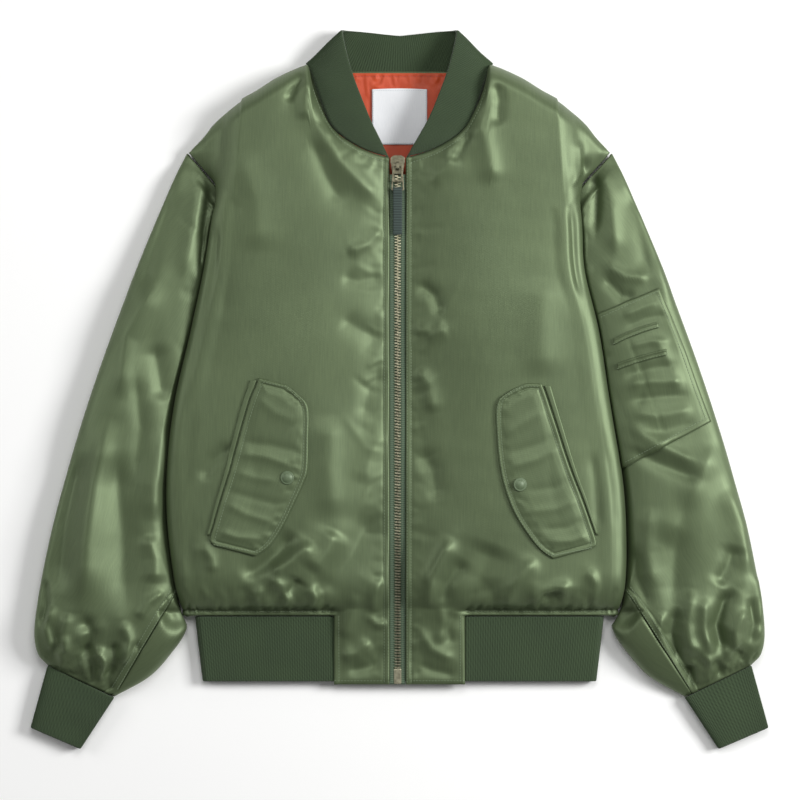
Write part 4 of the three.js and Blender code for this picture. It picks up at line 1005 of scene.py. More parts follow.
# %% Make the sleeve pocket and its pen slots
POCKET, POCKET_FROM_FOLD, PEN_SLOT, SLOT_WALL = 2.0, 2.5, 6.5, 1.2
POCKET_DEEPER, POCKET_GROOVE = (1.0, 1.3), (1.5, -0.7)
POCKET_ROWS = table(
    "outer_y outer_x inner_y", (-34, 325, -82), (5, 310.5, -20), (40, 298, 20), (73, 285, 52), (106, 271, 79),
)
POCKET_CREASES = [
    ([(232, 76), (252, 84), (272, 92)], 4.5, 1.4), ([(234, 64), (256, 74), (282, 78)], 4.5, -1.2),
    ([(232, 14), (262, 22), (292, 26)], 6, -1.6), ([(236, 4), (262, 8), (298, 8)], 6, 2.0),
    ([(238, -12), (268, -8), (304, -6)], 5, -1.6), ([(240, -24), (270, -28), (308, -20)], 6, 1.8),
    ([(244, -44), (272, -44), (312, -34)], 6, -1.4), ([(238, -56), (262, -62), (296, -50)], 5, 1.6),
    ([(262, 60), (280, 30), (292, -4)], 6, 1.2), ([(250, 40), (256, 10), (250, -20)], 5, -0.9),
    ([(270, 96), (284, 66), (298, 34)], 6, 1.0), ([(240, 44), (262, 50), (284, 50)], 4, 1.1),
]
POCKET_SEAMS = (((237, 59), (259, 0), (281, -58)), ((223, 6), (238, -34), (252, -74)))
PEN_LINES = {
    "upper": ((224, 53), (230, 56), (236, 59), (245, 62.5), (254, 66), (262, 68.5), (270, 70.5)),
    "lower": ((228, 27), (234, 29.5), (240, 31.5), (247, 34), (256, 36.5), (267, 39.5), (278, 42)),
}
sleeve_cloth = cloth_below(sleeve_tops[LEFT])


def pocket_piece():
    outer_y, across = spaced(106, -34, 2)[:, None], spaced(0, 1, 0.025)[None, :]
    outer_x, inner_y = read(POCKET_ROWS, "outer_x", outer_y), read(POCKET_ROWS, "inner_y", outer_y)
    inner_x = fold_x(LEFT, inner_y) + POCKET_FROM_FOLD
    plan = np.dstack([blend(outer_x, inner_x, across), blend(outer_y, inner_y, across)])
    grid, out = laid_on(sleeve_cloth, plan, POCKET, times=4)
    inward = rim_distance(plan)
    grooves = [(line, *POCKET_GROOVE) for line in POCKET_SEAMS]
    creases = crease_height(plan[:, :, 0], plan[:, :, 1], deeper(POCKET_CREASES, *POCKET_DEEPER) + grooves)
    rim = -1.0 * (1 - round_up(inward / 1.4)) - 0.5 * np.exp(-(((inward - 4) / 1.0) ** 2))
    grid = grid + out * (creases * ease(inward / 5) + rim + 0.5)[:, :, None]
    return cloth("sleeve_pocket_cloth", facing_up(grid, RIGHT), POCKET, facing_up(out, RIGHT))


def slot_piece(name):
    line = np.array(PEN_LINES[name])
    t = spaced(0, 1, 0.03)
    x, y = (np.interp(t * (len(line) - 1), np.arange(len(line)), line[:, axis]) for axis in (0, 1))
    up = spaced(0, 1, 0.125)[:, None]
    plan = np.dstack([x + 0 * up, y - PEN_SLOT * up])
    grid, out = laid_on(pocket_cloth, plan, SLOT_WALL)
    lip = 1.1 * np.exp(-((up - 0.12) / 0.16) ** 2) - 0.9 * (1 - round_up(np.minimum(up, 1 - up) / 0.12))
    return cloth(f"pen_slot_cloth_{name}", grid + out * (lip + 0.2)[:, :, None], SLOT_WALL, out)


pocket = pocket_piece()
pocket_cloth = cloth_below(pocket)
slots = {name: slot_piece(name) for name in PEN_LINES}
tell(pocket, *slots.values())

# %% [markdown]
# Inside the neck shows the orange lining, gathered a little where it meets the rib, and a plain satin
# label that is sewn on at its edges.

# %% Make the lining and the label
LINING_Z = SHELL + LINING + 0.6
LABEL_HALF, LABEL_TOP, LABEL_FOOT, LABEL = 28.9, 315.0, 257.0, 0.8


def flat_plan(half, top, foot, gap):
    """Rows from the top down, columns from the wearer's right to left, seen from above."""
    x, y = np.meshgrid(spaced(half, -half, gap), spaced(top, foot, gap))
    return x, y


def lining_piece():
    x, y = flat_plan(64, 332, 218, 1.4)
    puckers = gathers(120, 26, lambda t: ((blend(-60, 60, t), 331), (0, -1)),
                      reach=(12, 34), width=(1.8, 3.6), height=(1.2, 2.8), lean=0.2)
    gathered = np.clip(crease_height(x, y, puckers), -1.0, 2.6) * (1 - ease((abs(x) - 56) / 8))
    z = LINING_Z - 0.4 + 0.5 * gathered
    under_label = (abs(x) < LABEL_HALF + 1) & (y < LABEL_TOP + 1) & (y > LABEL_FOOT - 1)
    z = np.where(under_label, np.minimum(z, LINING_Z - 0.3), z)
    grid = np.dstack([x, y, z - 0.5 * np.exp(-(((y - 328.5) / 0.9) ** 2))])
    return cloth("lining_cloth", grid, LINING)


def label_piece():
    x, y = flat_plan(LABEL_HALF, LABEL_TOP, LABEL_FOOT, 1.4)
    across, up = (x + LABEL_HALF) / (2 * LABEL_HALF), (y - LABEL_FOOT) / (LABEL_TOP - LABEL_FOOT)
    bow = 0.7 * np.sin(math.pi * across) * up
    z = LINING_Z + SEAM + LABEL + 0.3 + 0.4 * bow + waves(x, y, size=40, height=0.12, seed=125)
    return cloth("label_satin", np.dstack([x, y + 1.2 * bow, z]), LABEL)


lining, label = lining_piece(), label_piece()
print(lining.name, "and", label.name, "made")

# %% [markdown]
# What repeats along a line, such as zip teeth and stitches, is made by one Geometry Nodes tree. It takes
# a line that knows which way the cloth faces, sets a small piece at every pitch and turns it to the line
# and the cloth.

# %% A Geometry Nodes tree that sets pieces along a line
def add_node(tree, kind, links=(), **settings):
    """A new node with its properties set, its inputs given by name, and its links made."""
    node = tree.nodes.new(kind)
    for name, value in settings.items():
        setattr(node, name, value)
    for name, source in dict(links).items():
        socket = node.inputs[name]
        if isinstance(source, bpy.types.NodeSocket):
            tree.links.new(source, socket)
        else:
            socket.default_value = source
    return node


def line_tree():
    """Pieces set along a line at a pitch, each scaled, turned to face outwards and leaning a little."""
    tree = bpy.data.node_groups.new("pieces_along_a_line", "GeometryNodeTree")
    sockets = {}
    for name, kind in (("Line", "Geometry"), ("Piece", "Object"), ("Pitch", "Float"), ("Width", "Float"),
                       ("Length", "Float"), ("Height", "Float"), ("Lean", "Float"), ("Seed", "Int"),
                       ("Finish", "Material")):
        sockets[name] = tree.interface.new_socket(name, in_out="INPUT", socket_type=f"NodeSocket{kind}")
    tree.interface.new_socket("Pieces", in_out="OUTPUT", socket_type="NodeSocketGeometry")
    given = add_node(tree, "NodeGroupInput").outputs
    curve = add_node(tree, "GeometryNodeMeshToCurve", {"Mesh": given["Line"]})
    points = add_node(tree, "GeometryNodeResampleCurve",
                      {"Curve": curve.outputs[0], "Length": given["Pitch"]}, mode="LENGTH")
    out = add_node(tree, "GeometryNodeInputNamedAttribute", {"Name": "out"}, data_type="FLOAT_VECTOR")
    tangent = add_node(tree, "GeometryNodeInputTangent")
    facing = add_node(tree, "FunctionNodeAlignRotationToVector",
                      {"Vector": out.outputs["Attribute"]}, axis="Z")
    turned = add_node(tree, "FunctionNodeAlignRotationToVector",
                      {"Rotation": facing.outputs[0], "Vector": tangent.outputs[0]}, axis="Y", pivot_axis="Z")
    less = add_node(tree, "ShaderNodeMath", {0: given["Lean"], 1: -1.0}, operation="MULTIPLY")
    lean = add_node(tree, "FunctionNodeRandomValue", {"Seed": given["Seed"]}, data_type="FLOAT")
    tree.links.new(less.outputs[0], lean.inputs[2])
    tree.links.new(given["Lean"], lean.inputs[3])
    sway = add_node(tree, "FunctionNodeAxisAngleToRotation", {"Axis": (0, 0, 1), "Angle": lean.outputs[1]})
    turn = add_node(tree, "FunctionNodeRotateRotation",
                    {"Rotation": turned.outputs[0], "Rotate By": sway.outputs[0]}, rotation_space="LOCAL")
    size = add_node(tree, "ShaderNodeCombineXYZ",
                    {"X": given["Width"], "Y": given["Length"], "Z": given["Height"]})
    piece = add_node(tree, "GeometryNodeObjectInfo", {"Object": given["Piece"]}, transform_space="ORIGINAL")
    placed = add_node(tree, "GeometryNodeInstanceOnPoints", {
        "Points": points.outputs[0], "Instance": piece.outputs["Geometry"], "Rotation": turn.outputs[0],
        "Scale": size.outputs[0]})
    real = add_node(tree, "GeometryNodeRealizeInstances", {"Geometry": placed.outputs[0]})
    done = add_node(tree, "GeometryNodeSetMaterial",
                    {"Geometry": real.outputs[0], "Material": given["Finish"]})
    add_node(tree, "NodeGroupOutput", {"Pieces": done.outputs[0]})
    return tree, {name: socket.identifier for name, socket in sockets.items()}


along_line, line_input = line_tree()


def unit_piece(name, bevel):
    """A small rounded block one metre long each way, which the tree scales to its size."""
    mesh = bpy.data.meshes.new(name)
    ring = [(-0.5 + bevel, -0.5), (0.5 - bevel, -0.5), (0.5, -0.5 + bevel), (0.5, 0.5 - bevel),
            (0.5 - bevel, 0.5), (-0.5 + bevel, 0.5), (-0.5, 0.5 - bevel), (-0.5, -0.5 + bevel)]
    shrink = 1 - 1.1 * bevel
    levels = ((-0.5, shrink), (0.5 - bevel, 1), (0.5, shrink))
    points = [(x * size, y * size, z) for z, size in levels for x, y in ring]
    sides = [(k + i, k + (i + 1) % 8, k + 8 + (i + 1) % 8, k + 8 + i) for k in (0, 8) for i in range(8)]
    mesh.from_pydata(points, [], sides + [tuple(range(7, -1, -1)), tuple(range(16, 24))])
    return bpy.data.objects.new(name, mesh)


def set_along(name, lines, unit, finish, pitch, width, length, height, lean=0.0, seed=1):
    """Pieces along some lines, each a pair of points in mm and outward directions, as one plain mesh."""
    points, outs, edges = [], [], []
    for line, out in lines:
        edges += [(len(points) + i, len(points) + i + 1) for i in range(len(line) - 1)]
        points += (np.array(line) * MM).tolist()
        outs += np.array(out).tolist()
    mesh = bpy.data.meshes.new(f"{name}_line")
    mesh.from_pydata(points, edges, [])
    facing = mesh.attributes.new("out", "FLOAT_VECTOR", "POINT")
    facing.data.foreach_set("vector", np.array(outs, np.float32).ravel())
    source = in_scene(f"{name}_line", mesh)
    modifier = source.modifiers.new("pieces", "NODES")
    modifier.node_group = along_line
    values = {
        "Piece": unit, "Pitch": pitch * MM, "Width": width * MM, "Length": length * MM,
        "Height": height * MM, "Lean": lean, "Seed": seed, "Finish": finish}
    for input_name, value in values.items():
        modifier[line_input[input_name]] = value
    done = bpy.data.meshes.new_from_object(source.evaluated_get(bpy.context.evaluated_depsgraph_get()))
    bpy.data.objects.remove(source)
    done.name = name
    return in_scene(name, done)


print("tree inputs:", ", ".join(line_input))

# %% [markdown]
# Each material is named for what it is. Colours are written as the hex values that a picture program
# shows, and one function turns them to the linear values that a shader needs.

# %% Small helpers for materials
def linear(hex_colour):
    """A shader's colour from an sRGB hex value."""
    parts = [int(hex_colour[i:i + 2], 16) / 255 for i in (1, 3, 5)]
    return (*[p / 12.92 if p <= 0.04045 else ((p + 0.055) / 1.055) ** 2.4 for p in parts], 1.0)


def new_material(name, **shader):
    """A material with its Principled shader's own sockets set."""
    material = bpy.data.materials.new(name)
    material.use_nodes = True
    material.diffuse_color = shader["Base_Color"]
    principled = material.node_tree.nodes["Principled BSDF"]
    for socket, value in shader.items():
        principled.inputs[socket.replace("_", " ")].default_value = value
    return material, material.node_tree, principled


def two_tone(tree, factor, dark, light):
    """A colour between two, by a pattern."""
    mix = add_node(tree, "ShaderNodeMix", {0: factor}, data_type="RGBA")
    mix.inputs[6].default_value, mix.inputs[7].default_value = linear(dark), linear(light)
    return mix.outputs[2]


def bumps(tree, principled, *layers):
    """Bump layers of (pattern, height in metres), the coarsest first."""
    normal = None
    for pattern, height in layers:
        bump = add_node(tree, "ShaderNodeBump", {"Height": pattern, "Distance": height, "Strength": 1.0})
        if normal:
            tree.links.new(normal, bump.inputs["Normal"])
        normal = bump.outputs["Normal"]
    tree.links.new(normal, principled.inputs["Normal"])


def pattern_place(tree, source="UV", scale=(1, 1, 1), turn=0.0):
    """Where a pattern is read: along the cloth (UV, in metres) or in the object."""
    place = add_node(tree, "ShaderNodeTexCoord").outputs[source]
    moved = add_node(tree, "ShaderNodeMapping", {"Vector": place, "Scale": scale, "Rotation": (0, 0, turn)})
    return moved.outputs[0]


def noise(tree, scale, source="UV", **settings):
    """Cloudy noise, with so many clouds to a metre each way."""
    place = pattern_place(tree, source, scale)
    return add_node(tree, "ShaderNodeTexNoise", {"Vector": place, "Scale": 1.0, **settings}).outputs[0]


# %% [markdown]
# The shell is nylon flight satin: fine bright threads float over the weft, so the light runs along each
# fold and slips off beside it. It is a dielectric, but its tight floats reflect almost in the cloth's own
# colour, which a share of metallic gives. Its threads are 0.2 mm apart, too fine to show, so they are
# drawn 0.9 mm apart.

# %% The olive satin
FLOATS, TWILL_TURN = 0.0009, math.radians(63)


def olive_satin():
    material, tree, principled = new_material(
        "olive_nylon_satin", Base_Color=linear("#5A6849"), Roughness=0.5, Metallic=0.5, Sheen_Weight=0.1,
        Sheen_Roughness=0.4, Sheen_Tint=linear("#A9BC8C"))
    thread = pattern_place(tree, scale=(1 / FLOATS, 1 / FLOATS, 1), turn=TWILL_TURN)
    twill = add_node(tree, "ShaderNodeTexWave", {
        "Vector": thread, "Scale": 1 / (2 * math.pi), "Distortion": 0.6, "Detail": 1.0})
    slubs = noise(tree, (700, 40, 1), Detail=3.0)
    clouds = noise(tree, (14, 10, 1), Detail=4.0)
    rumple = noise(tree, (38, 26, 1), Detail=3.0, Roughness=0.45)
    shade = add_node(tree, "ShaderNodeMath", {0: clouds, 1: slubs}, operation="ADD")
    share = add_node(tree, "ShaderNodeMapRange", {
        "Value": shade.outputs[0], "From Min": 0.6, "From Max": 1.4})
    tree.links.new(two_tone(tree, share.outputs[0], "#566447", "#637251"), principled.inputs["Base Color"])
    rough = add_node(tree, "ShaderNodeMapRange", {"Value": clouds, "To Min": 0.45, "To Max": 0.54})
    tree.links.new(rough.outputs[0], principled.inputs["Roughness"])
    bumps(tree, principled, (rumple, 0.00022), (slubs, 0.00002), (twill.outputs["Fac"], 0.00003))
    return material


# %% [markdown]
# The rib is a matt acrylic and wool knit. It shows as dark valleys between lit ridges, each a column of
# small loops, with a little fuzz that softens its edges.

# %% The rib knit
LOOP_WIDE, LOOP_LONG = 0.0012, 0.0016


def rib_knit():
    material, tree, principled = new_material(
        "olive_rib_knit", Base_Color=linear("#314326"), Roughness=0.92, Sheen_Weight=0.15,
        Sheen_Roughness=0.6)
    loops = add_node(tree, "ShaderNodeTexWave", {
        "Vector": pattern_place(tree, scale=(1 / LOOP_WIDE, 1 / LOOP_LONG, 1)), "Scale": 1 / (2 * math.pi),
        "Distortion": 2.2, "Detail": 1.0}, bands_direction="DIAGONAL")
    fuzz = noise(tree, (900, 900, 1), Detail=2.0)
    wear = noise(tree, (20, 20, 1))
    tone = add_node(tree, "ShaderNodeMath", {0: fuzz, 1: wear}, operation="MULTIPLY")
    tree.links.new(two_tone(tree, tone.outputs[0], "#27381F", "#3A4E2C"), principled.inputs["Base Color"])
    bumps(tree, principled, (loops.outputs["Fac"], 0.00018), (fuzz, 0.00015))
    return material


# %% [markdown]
# The lining is orange nylon taffeta, the label white polyester satin. Both are thin and smooth, and show
# a soft gloss.

# %% The lining, the label and the thread
WEAVE = 0.0007


def orange_taffeta():
    material, tree, principled = new_material(
        "orange_nylon_taffeta", Base_Color=linear("#C8503A"), Roughness=0.5, Sheen_Weight=0.2)
    weave = add_node(tree, "ShaderNodeTexChecker", {"Vector": pattern_place(tree), "Scale": 1 / WEAVE})
    soft = noise(tree, (60, 25, 1), Detail=3.0)
    tree.links.new(two_tone(tree, soft, "#B43A14", "#D6521E"), principled.inputs["Base Color"])
    bumps(tree, principled, (soft, 0.0015), (weave.outputs["Fac"], 0.00003))
    return material


def white_satin():
    material, tree, principled = new_material(
        "white_label_satin", Base_Color=linear("#DDE0E4"), Roughness=0.45, Sheen_Weight=0.15)
    warp = noise(tree, (1500, 120, 1))
    tree.links.new(two_tone(tree, warp, "#E4E7EB", "#F6F7F8"), principled.inputs["Base Color"])
    bumps(tree, principled, (warp, 0.00006))
    return material


def sewing_thread(name, dark, light):
    material, tree, principled = new_material(
        name, Base_Color=linear(light), Roughness=0.55, Sheen_Weight=0.3)
    twist = noise(tree, (1800, 1800, 1800), "Object")
    tree.links.new(two_tone(tree, twist, dark, light), principled.inputs["Base Color"])
    bumps(tree, principled, (twist, 0.00008))
    return material


# %% [markdown]
# The zip is antiqued brass on a woven tape. Its teeth are stamped and tumbled, so their edges are bright
# and their flanks dull. The pull carries a ribbon of ribbed grosgrain.

# %% The zip's tape, ribbon and metal, and the snap's painted cap
def woven_tape(name, dark, light, pitch):
    material, tree, principled = new_material(name, Base_Color=linear(light), Roughness=0.8, Sheen_Weight=0.2)
    place = pattern_place(tree, "Object", (1 / pitch, 1 / pitch, 1 / pitch))
    ribs = add_node(tree, "ShaderNodeTexWave", {
        "Vector": place, "Scale": 1 / (2 * math.pi), "Distortion": 0.3}, bands_direction="Y")
    tree.links.new(two_tone(tree, ribs.outputs["Fac"], dark, light), principled.inputs["Base Color"])
    bumps(tree, principled, (ribs.outputs["Fac"], 0.0002))
    return material


def worn_metal(name, dark, light, metallic, roughness):
    material, tree, principled = new_material(
        name, Base_Color=linear(light), Metallic=metallic, Roughness=roughness)
    wear = noise(tree, (400, 400, 400), "Object", Detail=4.0)
    tree.links.new(two_tone(tree, wear, dark, light), principled.inputs["Base Color"])
    rough = add_node(tree, "ShaderNodeMapRange", {
        "Value": wear, "To Min": roughness - 0.1, "To Max": roughness + 0.15})
    tree.links.new(rough.outputs[0], principled.inputs["Roughness"])
    bumps(tree, principled, (wear, 0.00006))
    return material


SATIN, KNIT = olive_satin(), rib_knit()
TAFFETA, LABEL_SATIN = orange_taffeta(), white_satin()
OLIVE_THREAD = sewing_thread("olive_sewing_thread", "#5C6E50", "#7C8D6C")
ORANGE_THREAD = sewing_thread("orange_sewing_thread", "#A63A2A", "#C8503A")
WHITE_THREAD = sewing_thread("white_sewing_thread", "#C9CDD2", "#E4E6E9")
TAPE = woven_tape("zip_tape_twill", "#465945", "#5B6E57", 0.0011)
GROSGRAIN = woven_tape("ribbon_grosgrain", "#26332F", "#3A4843", 0.0014)
BRASS = worn_metal("antiqued_brass", "#8E8A6E", "#E6E2C4", 1.0, 0.32)
DARK_BRASS = worn_metal("dark_cast_brass", "#3F3D30", "#9A967E", 1.0, 0.36)
CAP_PAINT = worn_metal("painted_snap_cap", "#556549", "#66775A", 0.15, 0.45)
print("materials:", ", ".join(material.name for material in bpy.data.materials))

# %% [markdown]
# The cloth pieces made so far take their finishes now. The pieces that follow get theirs as they are made.

# %% Give the cloth pieces their materials
for piece in (*fronts.values(), back, *sleeve_tops.values(), *sleeve_unders.values(), *flaps.values(),
              *welts.values(), pocket, *slots.values()):
    piece.data.materials.append(SATIN)
for piece in (*cuffs.values(), collar, waistband):
    piece.data.materials.append(KNIT)
lining.data.materials.append(TAFFETA)
label.data.materials.append(LABEL_SATIN)
print("satin, knit, taffeta and label satin are given out")

# %% [markdown]
# The zip is closed up to the slider. Two woven tapes are sewn under the fronts' edges, and on each a row
# of brass teeth is clamped, half a pitch apart, so that they mesh. Each tooth is a small rounded block, 3
# mm apart here.

# %% Make the zip
TEETH_HALF, SLIDER_FOOT_Y, BOX_TOP_Y = 3.8, 225.0, -292.0
TOOTH_PITCH, TOOTH, TOOTH_HIGH, TOOTH_SHIFT = 3.0, (4.3, 1.75), 2.2, 1.35


def zip_z(y):
    on_front = blend(TOP["edge_z"][0], FRONT_Z, round_up((NECK_Y - y) / TOP["run"][0]))
    below = run_down(FRONT_Z, y) - 0.5 * ease((SINK_FROM_Y - y) / 90)
    return np.where(y < SINK_FROM_Y, below, on_front)


def tape_piece(side):
    y = spaced(SLIDER_FOOT_Y - SEAM, TAB_BOTTOM_Y, 2.5)[:, None]
    x = np.array([0.35, 2.2, TEETH_HALF + 0.2, TEETH_HALF + 1, 6, 7.4, ZIP_EDGE - SEAM])[None, :]
    z = zip_z(y) - 1 - 1.1 * (1 - ease((x - 2) / 2)) + 0.25 * np.exp(-((x - 5.2) / 0.9) ** 2)
    grid = np.stack([ZIP_X + side * x + 0 * y, y + 0 * x, z], axis=2)
    return cloth(f"zip_tape_cloth_{SIDE_NAMES[side]}", facing_up(grid, side), 0.8)


def zip_line(side, start, end):
    y = spaced(start, end, 4)
    points = np.stack([np.full(y.shape, ZIP_X + side * TOOTH_SHIFT), y, zip_z(y) - 0.3], axis=1)
    slope = np.gradient(points, axis=0)
    out = np.cross([1.0, 0, 0], slope)
    out *= np.sign(out[:, 2:])
    return points, out / np.linalg.norm(out, axis=1, keepdims=True)


tapes = {side: tape_piece(side) for side in (RIGHT, LEFT)}
for tape in tapes.values():
    tape.data.materials.append(TAPE)
tooth = unit_piece("tooth", 0.22)
teeth_lines = [
    zip_line(RIGHT, SLIDER_FOOT_Y - 2, BOX_TOP_Y + 1),
    zip_line(LEFT, SLIDER_FOOT_Y - 2 - TOOTH_PITCH / 2, BOX_TOP_Y + 1)]
teeth = set_along("zip_teeth_brass", teeth_lines, tooth, BRASS, TOOTH_PITCH, *TOOTH, TOOTH_HIGH, lean=0.03)
print(teeth.name, len(teeth.data.polygons), "faces")

# %% [markdown]
# The slider, its pull and the box at the zip's foot are die-cast. Their solid shapes are already right,
# so each is a copy with its edges rounded by a Bevel modifier, as a tumbled casting's edges are. A sharp
# edge would catch no light.

# %% Round the castings' edges
def casting(name, node, finish, round_by):
    """A copy of a solid with its loose corners joined and its edges bevelled."""
    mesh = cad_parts[node].data.copy()
    mesh.materials.clear()
    piece = in_scene(name, mesh)
    weld = piece.modifiers.new("weld", "WELD")
    weld.merge_threshold = 0.00001
    bevel = piece.modifiers.new("rounded edges", "BEVEL")
    bevel.width, bevel.segments = round_by * MM, 2
    bevel.limit_method, bevel.angle_limit = "ANGLE", math.radians(35)
    bevel.harden_normals = True
    done = bpy.data.meshes.new_from_object(piece.evaluated_get(bpy.context.evaluated_depsgraph_get()))
    bpy.data.objects.remove(piece)
    done.name = name
    done.materials.append(finish)
    return in_scene(name, done)


slider = casting("slider_brass", "slider", DARK_BRASS, 0.5)
pull = casting("pull_brass", "pull", DARK_BRASS, 0.35)
zip_box = casting("zip_box_brass", "zip_box", BRASS, 0.6)
print("castings:", slider.name, pull.name, zip_box.name)

# %% [markdown]
# The ribbon is one strip, looped round the foot of the pull and sewn to itself below. It is a closed loop
# in side view, drawn as a rounded line and carried across its width.

# %% Make the pull's ribbon
PULL_Y, PULL_Z, PULL_LONG, FOOT_BAR = 233.6, 35.0, 26.0, 2.0
RIBBON_HALF, RIBBON = 4.7, 1.0
RIBBON_LINE = [
    (-47, -3.4), (-46.9, -2.0), (-30, -0.9), (-8, 0.4), (-4, 1.7), (-1.6, 2.5), (1.4, 2.5), (2.5, 1.4),
    (2.5, -1.4), (1.4, -2.5), (-2, -2.5), (-8, -2.2), (-30, -3.1)]


def rounded_loop(points, times):
    """A closed line with its corners cut off a few times."""
    points = np.array(points, float)
    for _ in range(times):
        ahead = np.roll(points, -1, axis=0)
        points = np.stack([0.75 * points + 0.25 * ahead, 0.25 * points + 0.75 * ahead], axis=1).reshape(-1, 2)
    return points


def ribbon_piece():
    loop = rounded_loop(RIBBON_LINE, 3)
    x = spaced(-RIBBON_HALF, RIBBON_HALF, 0.9)
    edge = 0.25 * (abs(x) / RIBBON_HALF) ** 8
    grid = np.stack([
        np.broadcast_to(ZIP_X + x[:, None], (len(x), len(loop))),
        PULL_Y - PULL_LONG + FOOT_BAR / 2 + loop[None, :, 0] + 0 * x[:, None],
        PULL_Z + loop[None, :, 1] - 0 * x[:, None]], axis=2)
    out = directions(grid, True)
    if out[:, :, 2][:, np.argmax(loop[:, 1])].mean() < 0:
        grid = grid[::-1]
        out = directions(grid, True)
    return cloth("pull_ribbon_grosgrain", grid - out * edge[:, None, None], RIBBON, out, closed=True)


ribbon = ribbon_piece()
ribbon.data.materials.append(GROSGRAIN)
print(ribbon.name, len(ribbon.data.polygons), "faces")

# %% [markdown]
# A snap's cap is a shallow dome with a rolled rim. Its profile is turned round the snap's own axis, which
# stands square to the flap below it.

# %% Turn the snap caps
SNAP_AT = {RIGHT: (-117, -92), LEFT: (125.5, -99)}
SNAP_PROFILE = [
    (7.0, 0.0), (7.15, 0.5), (6.9, 1.05), (6.3, 1.3), (5.7, 1.05), (5.3, 1.2), (4.4, 1.9), (3.0, 2.5),
    (1.5, 2.85), (0.0, 3.0)]
SNAP_SEGMENTS = 40


def snap_piece(side):
    found, facing = drop(cloth_below(flaps[side]), np.array([[SNAP_AT[side]]], float))
    centre = Vector(found[0, 0] + facing[0, 0] * 0.2)
    turn = Vector((0, 0, 1)).rotation_difference(Vector(facing[0, 0]))
    points, faces = [], []
    for radius, height in SNAP_PROFILE[:-1]:
        for i in range(SNAP_SEGMENTS):
            angle = 2 * math.pi * i / SNAP_SEGMENTS
            spot = Vector((radius * math.cos(angle), radius * math.sin(angle), height))
            points.append(centre + turn @ spot)
    points.append(centre + turn @ Vector((0, 0, SNAP_PROFILE[-1][1])))
    last = (len(SNAP_PROFILE) - 2) * SNAP_SEGMENTS
    for first in range(0, last, SNAP_SEGMENTS):
        above = first + SNAP_SEGMENTS
        for i in range(SNAP_SEGMENTS):
            j = (i + 1) % SNAP_SEGMENTS
            faces.append((first + i, first + j, above + j, above + i))
    faces += [(last + i, last + (i + 1) % SNAP_SEGMENTS, len(points) - 1) for i in range(SNAP_SEGMENTS)]
    faces.append(tuple(range(SNAP_SEGMENTS - 1, -1, -1)))
    name = f"snap_cap_{SIDE_NAMES[side]}"
    mesh = bpy.data.meshes.new(name)
    mesh.from_pydata([tuple(p * MM) for p in points], [], faces)
    mesh.polygons.foreach_set("use_smooth", np.ones(len(faces), bool))
    mesh.materials.append(CAP_PAINT)
    return in_scene(name, mesh)


snaps = {side: snap_piece(side) for side in (RIGHT, LEFT)}
print("snap caps:", snaps[RIGHT].name, snaps[LEFT].name)

# %% [markdown]
# The stitches are set by the same tree as the teeth: short rounded threads, 3.2 mm from start to start,
# in rows beside each turned edge. Their lines are drawn in plan and dropped onto the cloth, so they sink
# in its folds.

# %% Sew the stitches
STITCH_PITCH, STITCH = 3.2, (0.75, 2.3, 0.6)
LABEL_PITCH, LABEL_STITCH = 2.4, (0.5, 1.7, 0.4)
POCKET_STITCH, RIM_STITCH, RIM_POINTS, FLAP_GAP, LINING_STITCH = 4, 1.8, 35, 2.5, (58, 328.5)
thread = unit_piece("stitch", 0.3)


def sewn_line(tree, points, gap=3.0, sunk=0.05):
    """A line of plan points dropped onto some cloth: the points, and the way the cloth faces."""
    points = np.array(points, float)
    run = np.concatenate([[0], np.cumsum(np.hypot(*np.diff(points, axis=0).T))])
    at = spaced(0, run[-1], gap)
    plan = np.stack([np.interp(at, run, points[:, axis]) for axis in (0, 1)], axis=1)[None]
    found, facing = drop(tree, plan)
    return found[0] + facing[0] * (STITCH[2] / 2 - sunk), facing[0]


def front_lines(side):
    near = ZIP_EDGE + side * ZIP_X
    tree = cloth_below(fronts[side])
    x = spaced(near + 6, 90, 3)
    lines = [
        [(side * (near + BAND_WIDTH), 236), (side * (near + BAND_WIDTH), TAB_BOTTOM_Y + 3)],
        [(side * (near + 1.6), 238), (side * (near + 1.6), TAB_BOTTOM_Y + 3)],
        [(side * px, read(TOP, "y", px) - BAND_WIDTH - 0.6) for px in x],
        [(side * px, HEM_Y + 4.5) for px in spaced(TAB_X + 1, 216, 4)],
        [(side * (TAB_X - BAND_WIDTH), HEM_Y - 1), (side * (TAB_X - BAND_WIDTH), TAB_BOTTOM_Y + 4)],
        [(side * (near + BAND_WIDTH), TAB_BOTTOM_Y + 4), (side * (TAB_X - 2), TAB_BOTTOM_Y + 4)],
    ]
    return [sewn_line(tree, line) for line in lines]


def inset_loop(side, inset, start=0.35, end=8.7):
    """The flap's outline moved inwards, as plan points."""
    def edge(down, across):
        here, middle = (flap_plan(side, np.array([[down]]), share)[0, 0] for share in (across, 0.5))
        return here + (middle - here) * min(1, inset / max(np.hypot(*(middle - here)), 1e-6))

    front = [edge(down, 1.0) for down in spaced(start, end, 0.25)]
    behind = [edge(down, 0.0) for down in spaced(end, start, 0.25)]
    return front + behind + front[:1]


def sleeve_lines(side):
    tree = cloth_below(sleeve_tops[side])
    along = spaced(8.2, 12.7, 0.2)[:, None]
    edge = sleeve_point(side, along, felled_seam(side, along) - SEAM_DEGREES)[:, 0, :2]
    inner = sleeve_point(side, along, 115 + 0 * along)[:, 0, :2]
    way = (inner - edge) / np.linalg.norm(inner - edge, axis=1, keepdims=True)
    return [sewn_line(tree, edge + way * by) for by in (1.2, FELL_WIDTH)]


